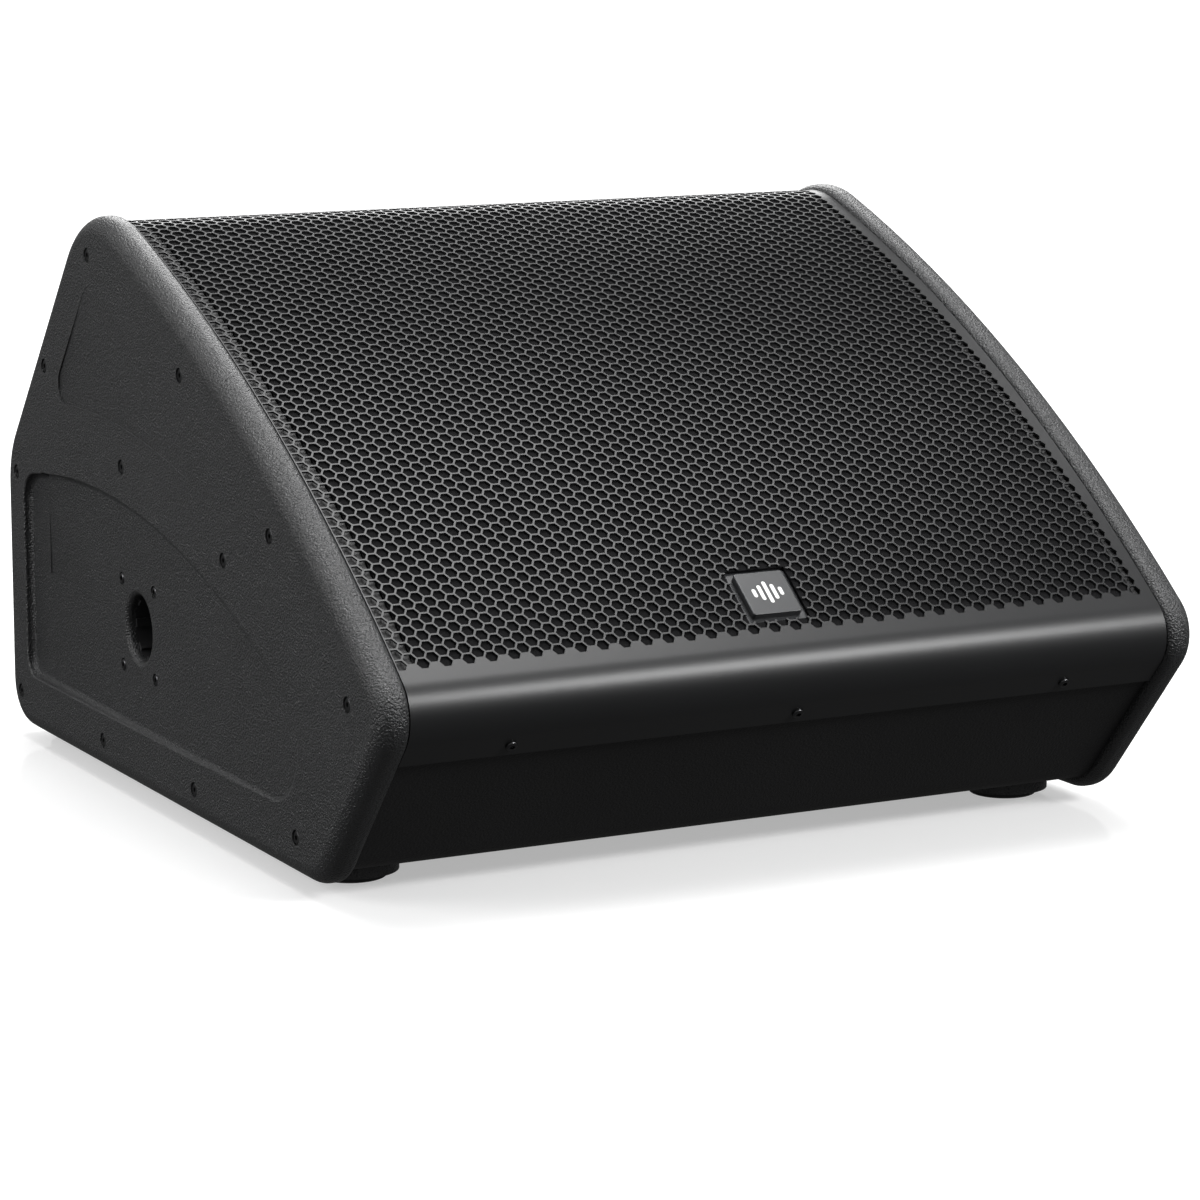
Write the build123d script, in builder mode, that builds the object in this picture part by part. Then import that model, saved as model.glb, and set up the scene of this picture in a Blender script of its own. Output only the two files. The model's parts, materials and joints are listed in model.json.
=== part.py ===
from build123d import *
import os
from math import cos, dist, radians, sin

os.makedirs("parts", exist_ok=True)

# ---------------------------------------------------------------- driving dimensions, mm
# The side view has y running from the nose to the rear and z up from the floor.
width = 520
foot_drop = 8  # the cheeks' lower edge above the floor
toe, toe_radius = (-206, foot_drop), 39
nose, nose_radius = (-300, 119), 28
crest, crest_radius = (139.5, 360), 73
shoulder, shoulder_radius = (287.5, 185.5), 57
heel, heel_radius = (289, foot_drop), 30
front_bulge = 26  # sagitta of the curved front between nose and crest

cheek_thickness = 18.5
cheek_rounding = 11
cheek_inner_rounding = 5  # along the edge that stands over the grille
cheek_pocket_depth = 9
cheek_rim = 15  # solid rim left round the cheek's hollow back
cheek_inner = width / 2 - cheek_thickness

body_inset = 6  # cabinet skin below the cheeks' outline
grille_inset = 3.5
grille_sheet = 1.5
foam_thickness = 5
ply = 12
side_inner = cheek_inner - ply
floor_low = 11  # underside of the bottom board
floor_high = floor_low + ply
fit_gap = 0.2  # slack between pieces that are slid together

seam_along = 101.6  # from the toe up the lower front, where the grille's fold ends
grille_screw_along = 110
grille_screw_spacing = 177
grille_screw_length, grille_screw_head = 12, 3.4
grille_side_gap = 0.6
rear_screw_along = 64
grille_end_along = 72  # from the crest down the rear slope, where the grille ends

screw_shank = 2.0
screw_hole = 2.15
head_radius = 4.0
head_height = 1.8
drive_radius = 1.6
drive_depth = 1.2

# Screws through each cheek, in the side view: round the edge, then across the face
cheek_screw_spots = [
    (268, 31), (121, 27), (-27, 27), (-175, 31), (-246, 119), (-144, 194),
    (-16, 268), (130, 324), (210, 248), (266, 174), (80, 202), (-77, 170),
]

# Large recess in each cheek's outer face, its floor rising towards the front
recess_rear, recess_front, recess_bottom = 254, -181, 44.5
recess_rear_depth, recess_front_depth = 5.5, 0.8
recess_arc_centre, recess_arc_radius = (142, -487), 670
recess_floor_rounding, recess_mouth_rounding = 3.5, 1.2

# Shallow panels pressed into the cheek, deepest at the lower rear corner and fading out up and forward
panel_fade = (0.516, -0.857)
upper_panel_rear_inset, upper_panel_top, upper_panel_front = 40, 306, -90
upper_panel_arc_radius = 716
upper_panel_depth, upper_panel_reach = 1.2, 104
upper_panel_zero = (118, 310)
upper_panel_roundings = (12, 15)
label_rear, label_low, label_front, label_top = 220, 115, 120, 180
label_depth, label_reach = 0.7, 46
label_zero = (218, 168)

pole_axis = (65.5, 106)
pole_bore = 18.0  # takes a 35 mm stand pole
pole_mouth = 20.0
pole_lip = 3.8
pole_cup_wall = 3
pole_cup_depth = 105
pole_rib_length = 21.5
pole_screw_offset = 26.5
pole_screw_length = 10
pole_head_seat = 1.6
pole_flange_thickness = 4
pole_ribs, pole_rib_width = 8, 5
side_screw_length = 24
pole_flange = 66

foot_x = 217
foot_rows = (-153, -92, 197, 254)
foot_radius = 20.5
foot_height = 8
foot_boss = 27

baffle_front = -14  # from the nose-to-crest chord, along the outward normal
baffle_thickness = 18
baffle_low, baffle_high = -205, 185  # along the chord, from its middle
driver_along = -8

frame_radius = 156  # 12-inch driver
driver_cutout = 141
driver_bolt_circle = 148.5
basket_windows = 6
spider_waves, spider_wave_height = 7, 1.5
port_radius = 37.5
port_x, port_along = 175, -150
port_length, port_wall, port_flange = 95, 3, 7
driver_bolts, driver_bolt_hole = 8, 2.65

tray_width, tray_height, tray_depth = 320, 92, 26  # the connector recess in the rear
tray_centre = 98
tray_wall = 3
tray_rounding = 7
tray_flange = 14
panel_sheet = 3

handle_width, handle_height, handle_depth = 170, 84, 46  # hand recess in the rear slope
handle_along = 136
handle_flange = 12
handle_wall = 3
grip_radius = 11
handle_screw_z = 30
grip_rise, grip_sink = 12, 14
bushing_radius, shaft_radius, button_radius, lamp_radius = 4.5, 3.0, 3.2, 1.6
tray_screw_x = 150

badge_size, badge_x, badge_along = 31, -4, -186
badge_window = 39
badge_rise, badge_slope, badge_thickness, badge_tray = 8.9, 37.5, 4, 1.2
foot_screw_shank, foot_screw_length, foot_head = 2.5, 14, 5
foot_head_seat, foot_rounding = 7, 1.5
plate_screw_length = 8
inlet_depth, inlet_pin_length = 18, 11
switch_depth, switch_well, rocker_tilt = 20, 12, 8
rocker_pin, rocker_pin_reach, rocker_pivot_depth = 1.5, 1.2, 2
knob_low, knob_height, knob_radius, knob_flutes = 4, 14, 8.5, 16
button_rise, button_travel = 3.5, 1.5
socket_depth, socket_bore, socket_pin_drop = 22, 9.7, 7
latch_up, latch_height, latch_travel = 12.8, 2.6, 1.5
board_gap, board_size, board_posts = 60, (240, 84), (224, 70)
lead_bend, lead_thickness, lead_straight = 26, 4, 30
sink_gap, sink_pitch, sink_fins, sink_fin_depth = 26, 8, 14, 22
head_seat_depth = 2.2
head_seat_radius = 4.6
cheek_boss_radius = 7


# ---------------------------------------------------------------- side-view helpers
def unit(start, end):
    """Unit vector from start to end in the side view."""
    length = dist(start, end)
    return ((end[0] - start[0]) / length, (end[1] - start[1]) / length)


def from_edge(start, end, along, out):
    """Point along the edge from start to end, moved out to the right of travel."""
    u = unit(start, end)
    return (start[0] + along * u[0] + out * u[1], start[1] + along * u[1] - out * u[0])


def side_outline(inset):
    """The wedge's side outline, each edge moved in by inset."""
    corners = [nose, toe, heel, shoulder, crest]
    radii = [nose_radius, toe_radius, heel_radius, shoulder_radius, crest_radius]
    with BuildSketch() as outline:
        with BuildLine():
            Polyline(*corners)
            SagittaArc(crest, nose, -front_bulge)
        make_face()
        for corner, radius in zip(corners, radii):
            fillet(outline.vertices().sort_by_distance(corner)[0], radius)
        if inset:
            offset(amount=-inset)
    return outline.sketch


def band(outer, inner, region):
    """Side-view strip between two insets of the outline, kept inside a region."""
    with BuildSketch() as strip:
        add(side_outline(outer))
        add(side_outline(inner), mode=Mode.SUBTRACT)
        Polygon(*region, align=None, mode=Mode.INTERSECT)
    return strip.sketch


def solid_region(outer, region):
    """Side-view area inside an inset of the outline and inside a region."""
    with BuildSketch() as area:
        add(side_outline(outer))
        Polygon(*region, align=None, mode=Mode.INTERSECT)
    return area.sketch


def on_lower_front(along, out):
    """Point on the lower front, from the toe towards the nose."""
    return from_edge(toe, nose, along, -out)


def on_rear_slope(along, out):
    """Point on the rear slope, from the crest towards the shoulder."""
    return from_edge(crest, shoulder, along, -out)


def on_front(along, out):
    """Point from the middle of the nose-to-crest chord, up the slope and outward."""
    return from_edge(nose, crest, dist(nose, crest) / 2 + along, -out)


slope_up = unit(nose, crest)
slope_out = (-slope_up[1], slope_up[0])
rear_down = unit(crest, shoulder)
rear_out = (-rear_down[1], rear_down[0])
lower_up = unit(toe, nose)
lower_out = (-lower_up[1], lower_up[0])


def screw(shank_length, head=head_radius, shank=screw_shank):
    """Button-head screw, its head's underside at the origin, its shank along -Z."""
    with BuildPart() as fastener:
        with BuildSketch():
            Circle(head)
        extrude(amount=head_height)
        fillet(fastener.edges().filter_by(GeomType.CIRCLE).sort_by(Axis.Z)[-1], head_height * 0.7)
        with BuildSketch(Plane.XY.offset(head_height)):
            RegularPolygon(drive_radius, 6)
        extrude(amount=-drive_depth, mode=Mode.SUBTRACT)
        with BuildSketch():
            Circle(shank)
        extrude(amount=-shank_length)
    return fastener.part


def side_screw_places(face_x):
    """Screw seats on a cheek's outer face, their axes pointing out of it."""
    side = 1 if face_x > 0 else -1
    return [Plane((face_x, y, z), x_dir=(0, side, 0), z_dir=(side, 0, 0)) for y, z in cheek_screw_spots]


# ---------------------------------------------------------------- moulded cheeks
recess_slope = (recess_rear_depth - recess_front_depth) / (recess_rear - recess_front)
upper_slope = [part * upper_panel_depth / upper_panel_reach for part in panel_fade]
label_slope = [part * label_depth / label_reach for part in panel_fade]
label_slope[0] += recess_slope
pocket_clearance = 2


def recess_outline():
    """Side-view outline of a cheek's large recess, under an arched upper edge."""
    centre_z = recess_arc_centre[1]
    with BuildSketch() as outline:
        with Locations(recess_arc_centre):
            Circle(recess_arc_radius)
        with Locations(((recess_front + recess_rear) / 2, recess_bottom)):
            Rectangle(
                recess_rear - recess_front,
                recess_arc_radius,
                align=(Align.CENTER, Align.MIN),
                mode=Mode.INTERSECT,
            )
        rounded = [
            ((recess_front, recess_bottom), 38),
            ((recess_rear, recess_bottom), 12),
            ((recess_front, centre_z + 587), 20),
            ((recess_rear, centre_z + 661), 20),
        ]
        for corner, radius in rounded:
            fillet(outline.vertices().sort_by_distance(corner)[0], radius)
    return outline.sketch


def recess_depth_at(y):
    """Depth of the large recess's tilted floor below the cheek's face."""
    return recess_rear_depth - (recess_rear - y) * recess_slope


def tilted_pocket(side, outline, anchor, depth, slope):
    """Cutter for a pocket in a cheek's face, this deep at the anchor and deeper along the slope."""
    outer = side * width / 2
    floor = Plane((outer - side * depth, *anchor), z_dir=(side, *slope))
    with BuildPart() as cutter:
        with BuildSketch(Plane.YZ.offset(outer + side * pocket_clearance)):
            add(outline)
        extrude(amount=-side * cheek_thickness)
        with BuildSketch(floor):
            Rectangle(4 * width, 4 * width)
        extrude(amount=-2 * cheek_thickness, mode=Mode.SUBTRACT)
    return cutter.part


def recess_cutter(side):
    """The large recess, rounded where its floor meets its walls."""
    with BuildPart() as cutter:
        add(tilted_pocket(side, recess_outline(), (recess_rear, 0), recess_rear_depth, (recess_slope, 0)))
        floor = cutter.faces().sort_by(Axis.X)[0 if side > 0 else -1]
        fillet(floor.edges(), recess_floor_rounding)
    return cutter.part


def upper_panel_outline():
    """Shallow panel above the recess, between the rear slope and an arch parallel to the recess's."""
    rear_line = [on_rear_slope(along, -upper_panel_rear_inset) for along in (0, upper_panel_top)]
    with BuildSketch() as outline:
        Polygon(*rear_line, (upper_panel_front, 0), (upper_panel_front, width), align=None)
        with Locations((0, upper_panel_top)):
            Rectangle(2 * width, width, align=(Align.CENTER, Align.MIN), mode=Mode.SUBTRACT)
        with Locations(recess_arc_centre):
            Circle(upper_panel_arc_radius, mode=Mode.SUBTRACT)
        low_corner = outline.vertices().sort_by(Axis.X)[-1]
        top_corner = outline.vertices().group_by(Axis.Y)[-1].sort_by(Axis.X)[-1]
        for corner, radius in zip((low_corner, top_corner), upper_panel_roundings):
            fillet(outline.vertices().sort_by_distance(corner)[0], radius)
    return outline.sketch


def label_outline():
    """Shallow label panel on the recess's floor."""
    with BuildSketch() as outline:
        with Locations((label_rear, label_low)):
            Rectangle(label_rear - label_front, label_top - label_low, align=(Align.MAX, Align.MIN))
    return outline.sketch


def mouth_edges(body, outer):
    """Edges of the recess mouth, which lie on the cheek's outer face inside its rim."""
    on_face = body.edges().filter_by_position(Axis.X, outer - 0.1, outer + 0.1)
    inside = on_face.filter_by_position(Axis.Y, recess_front - 1, recess_rear + 1)
    return inside.filter_by_position(Axis.Z, recess_bottom - 1, recess_arc_centre[1] + recess_arc_radius + 1)


def cheek_body(side):
    """One end cheek, a rounded moulding with a hollow back: side is 1 right, -1 left."""
    outer = side * width / 2
    inner = side * cheek_inner
    with BuildPart() as body:
        with BuildSketch(Plane.YZ.offset(inner)):
            add(side_outline(0))
        extrude(amount=side * cheek_thickness)
        ends = body.faces().sort_by(Axis.X)[::side]
        fillet(ends[-1].edges(), cheek_rounding)
        fillet(ends[0].edges(), cheek_inner_rounding)
        add(recess_cutter(side), mode=Mode.SUBTRACT)
        fillet(mouth_edges(body, outer), recess_mouth_rounding)
        add(tilted_pocket(side, upper_panel_outline(), upper_panel_zero, 0, upper_slope), mode=Mode.SUBTRACT)
        label_floor = recess_depth_at(label_zero[0])
        add(tilted_pocket(side, label_outline(), label_zero, label_floor, label_slope), mode=Mode.SUBTRACT)
        with BuildSketch(Plane.YZ.offset(inner)):
            add(side_outline(cheek_rim))
            with Locations(cheek_screw_spots):
                Circle(cheek_boss_radius, mode=Mode.SUBTRACT)
        extrude(amount=side * cheek_pocket_depth, mode=Mode.SUBTRACT)
        for place in side_screw_places(outer):
            with BuildSketch(place):
                Circle(head_seat_radius)
            extrude(amount=-head_seat_depth, mode=Mode.SUBTRACT)
            with BuildSketch(place):
                Circle(screw_hole)
            extrude(amount=-cheek_thickness, mode=Mode.SUBTRACT)
        # Lip under the cabinet, with a round boss over each foot
        for front_row, back_row in (foot_rows[:2], foot_rows[2:]):
            lip_reach = cheek_inner + ply / 2 - foot_x
            with BuildSketch(Plane.XY.offset(foot_drop)):
                with Locations((side * (foot_x + lip_reach / 2), (front_row + back_row) / 2)):
                    Rectangle(lip_reach, back_row - front_row)
            extrude(amount=floor_low - foot_drop)
        for row in foot_rows:
            with BuildSketch(Plane.XY.offset(foot_height / 2)):
                with Locations((side * foot_x, row)):
                    Circle(foot_boss)
            extrude(amount=floor_low - foot_height / 2)
            with BuildSketch(Plane.XY.offset(foot_height / 2)):
                with Locations((side * foot_x, row)):
                    Circle(foot_radius + fit_gap)
            extrude(amount=foot_height / 2, mode=Mode.SUBTRACT)
            with BuildSketch(Plane.XY.offset(foot_height)):
                with Locations((side * foot_x, row)):
                    Circle(foot_screw_shank + fit_gap)
            extrude(amount=ply, mode=Mode.SUBTRACT)
    return body.part


with BuildPart() as right_cheek:
    add(cheek_body(1))
right_cheek.part.label = "right_cheek"
export_step(right_cheek.part, "parts/right_cheek.step")

pole_floor_x = -(width / 2 - recess_depth_at(pole_axis[0]))
pole_flange_x = -(cheek_inner + cheek_pocket_depth)
pole_screw_places = [
    (pole_axis[0] + dy, pole_axis[1] + dz)
    for dy in (-pole_screw_offset, pole_screw_offset)
    for dz in (-pole_screw_offset, pole_screw_offset)
]
mouth_section = Plane((pole_floor_x, *pole_axis), x_dir=(0, 1, 0), z_dir=(0, 0, 1))
with BuildPart() as left_cheek:
    add(cheek_body(-1))
    # Socket mouth with a rounded lip
    with BuildSketch(mouth_section):
        with BuildLine():
            lip_edge = pole_mouth + pole_lip
            Polyline(
                (pole_mouth, -pole_lip), (pole_mouth, -cheek_thickness), (0, -cheek_thickness),
                (0, pocket_clearance), (lip_edge, pocket_clearance), (lip_edge, 0),
            )
            RadiusArc((lip_edge, 0), (pole_mouth, -pole_lip), -pole_lip)
        make_face()
    revolve(axis=Axis((pole_floor_x, *pole_axis), (1, 0, 0)), mode=Mode.SUBTRACT)
    with BuildSketch(Plane.YZ.offset(pole_floor_x)):
        with Locations(pole_screw_places):
            Circle(screw_hole)
    extrude(amount=cheek_thickness, mode=Mode.SUBTRACT)
    with BuildSketch(Plane.YZ.offset(pole_floor_x + pole_head_seat)):
        with Locations(pole_screw_places):
            Circle(head_seat_radius - 0.6)
    extrude(amount=-pole_head_seat - pocket_clearance, mode=Mode.SUBTRACT)
left_cheek.part.label = "left_cheek"
export_step(left_cheek.part, "parts/left_cheek.step")


side_screw = screw(side_screw_length)
with BuildPart() as cheek_screws:
    for outer_x in (-width / 2 + head_seat_depth, width / 2 - head_seat_depth):
        for place in side_screw_places(outer_x):
            add(place.location * side_screw)
cheek_screws.part.label = "cheek_screws"
export_step(cheek_screws.part, "parts/cheek_screws.step")

# ---------------------------------------------------------------- pole socket in the left cheek
with BuildPart() as pole_cup:
    with BuildSketch(Plane.YZ.offset(pole_flange_x)):
        with Locations(pole_axis):
            RectangleRounded(pole_flange, pole_flange, 8)
        with Locations(pole_screw_places):
            Circle(screw_hole, mode=Mode.SUBTRACT)
    extrude(amount=pole_flange_thickness)
    with BuildSketch(Plane.YZ.offset(pole_flange_x)):
        with Locations(pole_axis):
            Circle(pole_mouth + pole_cup_wall)
    extrude(amount=pole_cup_depth)
    with BuildSketch(Plane.YZ.offset(pole_flange_x)):
        with Locations(pole_axis):
            Circle(pole_bore)
    extrude(amount=pole_cup_depth - pole_cup_wall, mode=Mode.SUBTRACT)
    with BuildSketch(Plane.YZ.offset(pole_flange_x)):
        with Locations(pole_axis):
            Circle(pole_mouth)
            Circle(pole_bore, mode=Mode.SUBTRACT)
            with PolarLocations((pole_bore + pole_mouth) / 2, pole_ribs):
                Rectangle(pole_mouth - pole_bore + 2, pole_rib_width, mode=Mode.SUBTRACT)
    extrude(amount=pole_rib_length, mode=Mode.SUBTRACT)
pole_cup.part.label = "pole_cup"
export_step(pole_cup.part, "parts/pole_cup.step")

with BuildPart() as pole_cup_screws:
    for y, z in pole_screw_places:
        seat = Plane((pole_floor_x + pole_head_seat, y, z), x_dir=(0, -1, 0), z_dir=(-1, 0, 0))
        add(seat.location * screw(pole_screw_length, head=head_radius - 0.8))
pole_cup_screws.part.label = "pole_cup_screws"
export_step(pole_cup_screws.part, "parts/pole_cup_screws.step")


# ---------------------------------------------------------------- wooden cabinet
def cabinet_side(side):
    """Plywood end panel of the cabinet, behind a cheek."""
    start = side * side_inner
    with BuildPart() as panel:
        with BuildSketch(Plane.YZ.offset(start)):
            add(side_outline(body_inset))
            with Locations((0, floor_high)):
                Rectangle(2 * width, 2 * width, align=(Align.CENTER, Align.MIN), mode=Mode.INTERSECT)
            with Locations(cheek_screw_spots):
                Circle(screw_hole, mode=Mode.SUBTRACT)
        extrude(amount=side * ply)
    return panel.part


with BuildPart() as right_side_panel:
    add(cabinet_side(1))
right_side_panel.part.label = "right_side_panel"
export_step(right_side_panel.part, "parts/right_side_panel.step")

with BuildPart() as left_side_panel:
    add(cabinet_side(-1))
    with BuildSketch(Plane.YZ.offset(-cheek_inner)):
        with Locations(pole_axis):
            Circle(pole_mouth + pole_cup_wall + 1)
    extrude(amount=ply, mode=Mode.SUBTRACT)
left_side_panel.part.label = "left_side_panel"
export_step(left_side_panel.part, "parts/left_side_panel.step")

outside = 40  # how far the clipping regions below reach past the outline
shoulder_cut, shoulder_depth = 24, 34
slope_low_along = 204

with BuildPart() as bottom_board:
    with BuildSketch(Plane.YZ):
        add(side_outline(body_inset))
        with Locations(((foot_rows[0] + foot_rows[-1]) / 2, floor_low)):
            Rectangle(foot_rows[-1] - foot_rows[0] + 2 * foot_boss, ply, align=(Align.CENTER, Align.MIN))
        with Locations((0, floor_high)):
            Rectangle(2 * width, 2 * width, align=(Align.CENTER, Align.MIN), mode=Mode.SUBTRACT)
    extrude(amount=cheek_inner, both=True)
    with BuildSketch(Plane.XY.offset(floor_low)):
        with Locations([(side * foot_x, row) for side in (-1, 1) for row in foot_rows]):
            Circle(foot_screw_shank + fit_gap)
    extrude(amount=ply, mode=Mode.SUBTRACT)
bottom_board.part.label = "bottom_board"
export_step(bottom_board.part, "parts/bottom_board.step")

seam_out = on_lower_front(seam_along, outside)
seam_in = on_lower_front(seam_along, -ply - body_inset)
with BuildPart() as lower_front_panel:
    with BuildSketch(Plane.YZ):
        add(band(body_inset, body_inset + ply, [
            seam_out, seam_in, (toe[0] + body_inset + 5, floor_high), (-3 * outside + toe[0], floor_high),
        ]))
    extrude(amount=side_inner, both=True)
lower_front_panel.part.label = "lower_front_panel"
export_step(lower_front_panel.part, "parts/lower_front_panel.step")

grille_back = grille_inset + grille_sheet
baffle_back = baffle_front - baffle_thickness
badge_seat = Plane(
    (badge_x, *on_front(badge_along, badge_rise)), x_dir=(1, 0, 0),
    z_dir=(0, -sin(radians(badge_slope)), cos(radians(badge_slope))),
)
badge_tray_low = -badge_thickness - badge_tray
with BuildPart() as nose_rail:
    with BuildSketch(Plane.YZ):
        add(solid_region(grille_back, [
            seam_out, seam_in, on_front(baffle_low, baffle_back), on_front(baffle_low, outside),
            (nose[0] - outside, nose[1] + outside),
        ]))
    extrude(amount=side_inner, both=True)
    for x in (-grille_screw_spacing, 0, grille_screw_spacing):
        seat = Plane((x, *on_lower_front(grille_screw_along, 0)), x_dir=(1, 0, 0), z_dir=(0, *lower_out))
        with BuildSketch(seat):
            Circle(screw_hole)
        extrude(amount=-grille_screw_length - body_inset, mode=Mode.SUBTRACT)
    with BuildSketch(badge_seat.offset(badge_tray_low)):
        RectangleRounded(badge_window, badge_window, 3)
    extrude(amount=outside, mode=Mode.SUBTRACT)
nose_rail.part.label = "nose_rail"
export_step(nose_rail.part, "parts/nose_rail.step")

with BuildPart() as top_rail:
    with BuildSketch(Plane.YZ):
        add(solid_region(grille_back, [
            on_front(baffle_high, baffle_back), on_front(baffle_high, 2 * outside),
            (crest[0] + outside, crest[1] + 2 * outside), on_rear_slope(grille_end_along, outside),
            on_rear_slope(grille_end_along, -ply - body_inset),
        ]))
    extrude(amount=side_inner, both=True)
    for x in (-grille_screw_spacing, 0, grille_screw_spacing):
        seat = Plane((x, *on_rear_slope(rear_screw_along, 0)), x_dir=(1, 0, 0), z_dir=(0, *rear_out))
        with BuildSketch(seat):
            Circle(screw_hole)
        extrude(amount=-grille_screw_length - body_inset, mode=Mode.SUBTRACT)
top_rail.part.label = "top_rail"
export_step(top_rail.part, "parts/top_rail.step")

with BuildPart() as shoulder_rail:
    with BuildSketch(Plane.YZ):
        add(solid_region(body_inset, [
            on_rear_slope(slope_low_along, outside), on_rear_slope(slope_low_along, -shoulder_depth),
            (heel[0] - shoulder_depth, shoulder[1] - shoulder_cut),
            (heel[0] + outside, shoulder[1] - shoulder_cut),
        ]))
    extrude(amount=side_inner, both=True)
shoulder_rail.part.label = "shoulder_rail"
export_step(shoulder_rail.part, "parts/shoulder_rail.step")

handle_seat = Plane((0, *on_rear_slope(handle_along, -body_inset)), x_dir=(-1, 0, 0), z_dir=(0, *rear_out))
handle_screw_places = [
    (side * (handle_width + handle_flange) / 2, z)
    for side in (-1, 1)
    for z in (-handle_screw_z, handle_screw_z)
]
with BuildPart() as rear_slope_panel:
    with BuildSketch(Plane.YZ):
        add(band(body_inset, body_inset + ply, [
            on_rear_slope(grille_end_along, outside), on_rear_slope(grille_end_along, -outside),
            on_rear_slope(slope_low_along, -outside), on_rear_slope(slope_low_along, outside),
        ]))
    extrude(amount=side_inner, both=True)
    with BuildSketch(handle_seat):
        RectangleRounded(handle_width + 2 * fit_gap, handle_height + 2 * fit_gap, 14)
        with Locations(handle_screw_places):
            Circle(screw_hole)
    extrude(amount=-2 * ply, mode=Mode.SUBTRACT)
rear_slope_panel.part.label = "rear_slope_panel"
export_step(rear_slope_panel.part, "parts/rear_slope_panel.step")

rear_y = heel[0] - body_inset
tray_seat = Plane((0, rear_y, tray_centre), x_dir=(-1, 0, 0), z_dir=(0, 1, 0))
tray_screw_places = [
    (x, side * (tray_height + tray_flange) / 2)
    for side in (-1, 1)
    for x in (-tray_screw_x, 0, tray_screw_x)
]
with BuildPart() as rear_panel:
    with BuildSketch(Plane.YZ):
        add(band(body_inset, body_inset + ply, [
            (heel[0] - body_inset - ply - 2, floor_high), (heel[0] + outside, floor_high),
            (heel[0] + outside, shoulder[1] - shoulder_cut),
            (heel[0] - body_inset - ply - 2, shoulder[1] - shoulder_cut),
        ]))
    extrude(amount=side_inner, both=True)
    with BuildSketch(tray_seat.offset(2 * ply)):
        RectangleRounded(tray_width + 2 * fit_gap, tray_height + 2 * fit_gap, tray_rounding + fit_gap)
        with Locations(tray_screw_places):
            Circle(screw_hole)
    extrude(amount=-4 * ply, mode=Mode.SUBTRACT)
rear_panel.part.label = "rear_panel"
export_step(rear_panel.part, "parts/rear_panel.step")

# ---------------------------------------------------------------- baffle
driver_centre = (0, *on_front(driver_along, baffle_front))
driver_seat = Plane(driver_centre, x_dir=(1, 0, 0), z_dir=(0, *slope_out))
driver_axis = Axis(driver_centre, (0, *slope_out))
driver_section = Plane(driver_centre, x_dir=(1, 0, 0), z_dir=(0, -slope_out[1], slope_out[0]))
with BuildPart() as baffle:
    with BuildSketch(Plane.YZ):
        Polygon(
            on_front(baffle_low, baffle_front), on_front(baffle_low, baffle_back),
            on_front(baffle_high, baffle_back), on_front(baffle_high, baffle_front), align=None,
        )
    extrude(amount=side_inner, both=True)
    with BuildSketch(driver_seat):
        Circle(driver_cutout)
        with PolarLocations(driver_bolt_circle, driver_bolts):
            Circle(driver_bolt_hole)
        with Locations([(side * port_x, port_along - driver_along) for side in (-1, 1)]):
            Circle(port_radius)
    extrude(amount=-baffle_thickness, mode=Mode.SUBTRACT)
baffle.part.label = "baffle"
export_step(baffle.part, "parts/baffle.step")


def port_tube(side):
    """Reflex port: a flared mouth on the baffle and a tube behind it."""
    seat = Plane((side * port_x, *on_front(port_along, baffle_front)), x_dir=(1, 0, 0), z_dir=(0, *slope_out))
    with BuildPart() as tube:
        with BuildSketch(seat):
            Circle(port_radius + port_flange)
        extrude(amount=port_wall)
        with BuildSketch(seat):
            Circle(port_radius - fit_gap)
        extrude(amount=-port_length)
        fillet(tube.edges().filter_by(GeomType.CIRCLE).sort_by(driver_axis)[-1], port_wall * 0.6)
        with BuildSketch(seat.offset(port_wall)):
            Circle(port_radius - port_wall)
        extrude(amount=-port_length - port_wall, mode=Mode.SUBTRACT)
        inner = tube.edges().filter_by(GeomType.CIRCLE).sort_by(driver_axis)[-2:].sort_by(SortBy.RADIUS)[0]
        fillet(inner, port_wall * 0.8)
    return tube.part


with BuildPart() as port_tubes:
    add(port_tube(-1))
    add(port_tube(1))
port_tubes.part.label = "port_tubes"
export_step(port_tubes.part, "parts/port_tubes.step")

# ---------------------------------------------------------------- grille
grille_front_region = [
    seam_out, on_lower_front(seam_along, -outside / 2), on_front(0, -outside),
    on_rear_slope(grille_end_along, -outside / 2), on_rear_slope(grille_end_along, outside),
    (crest[0], crest[1] + 3 * outside), (nose[0] - outside, crest[1]), (nose[0] - outside, nose[1]),
]
with BuildPart() as grille:
    with BuildSketch(Plane.YZ):
        add(band(grille_inset, grille_back, grille_front_region))
    extrude(amount=cheek_inner - grille_side_gap, both=True)
    with BuildSketch(badge_seat.offset(outside)):
        RectangleRounded(badge_window, badge_window, 3)
    extrude(amount=-2 * outside, mode=Mode.SUBTRACT)
    for seat_point, normal in (
        (on_lower_front(grille_screw_along, outside), lower_out),
        (on_rear_slope(rear_screw_along, outside), rear_out),
    ):
        for x in (-grille_screw_spacing, 0, grille_screw_spacing):
            with BuildSketch(Plane((x, *seat_point), x_dir=(1, 0, 0), z_dir=(0, *normal))):
                Circle(screw_hole)
            extrude(amount=-2 * outside, mode=Mode.SUBTRACT)
grille.part.label = "grille"
export_step(grille.part, "parts/grille.step")

with BuildPart() as grille_foam:
    with BuildSketch(Plane.YZ):
        add(band(grille_back, grille_back + foam_thickness, [
            on_front(baffle_low, baffle_front + 1), on_front(baffle_low, 2 * outside),
            on_front(baffle_high, 2 * outside), on_front(baffle_high, baffle_front + 1),
        ]))
    extrude(amount=side_inner - fit_gap, both=True)
    with BuildSketch(badge_seat.offset(outside)):
        RectangleRounded(badge_window, badge_window, 3)
    extrude(amount=-2 * outside, mode=Mode.SUBTRACT)
grille_foam.part.label = "grille_foam"
export_step(grille_foam.part, "parts/grille_foam.step")

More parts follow.
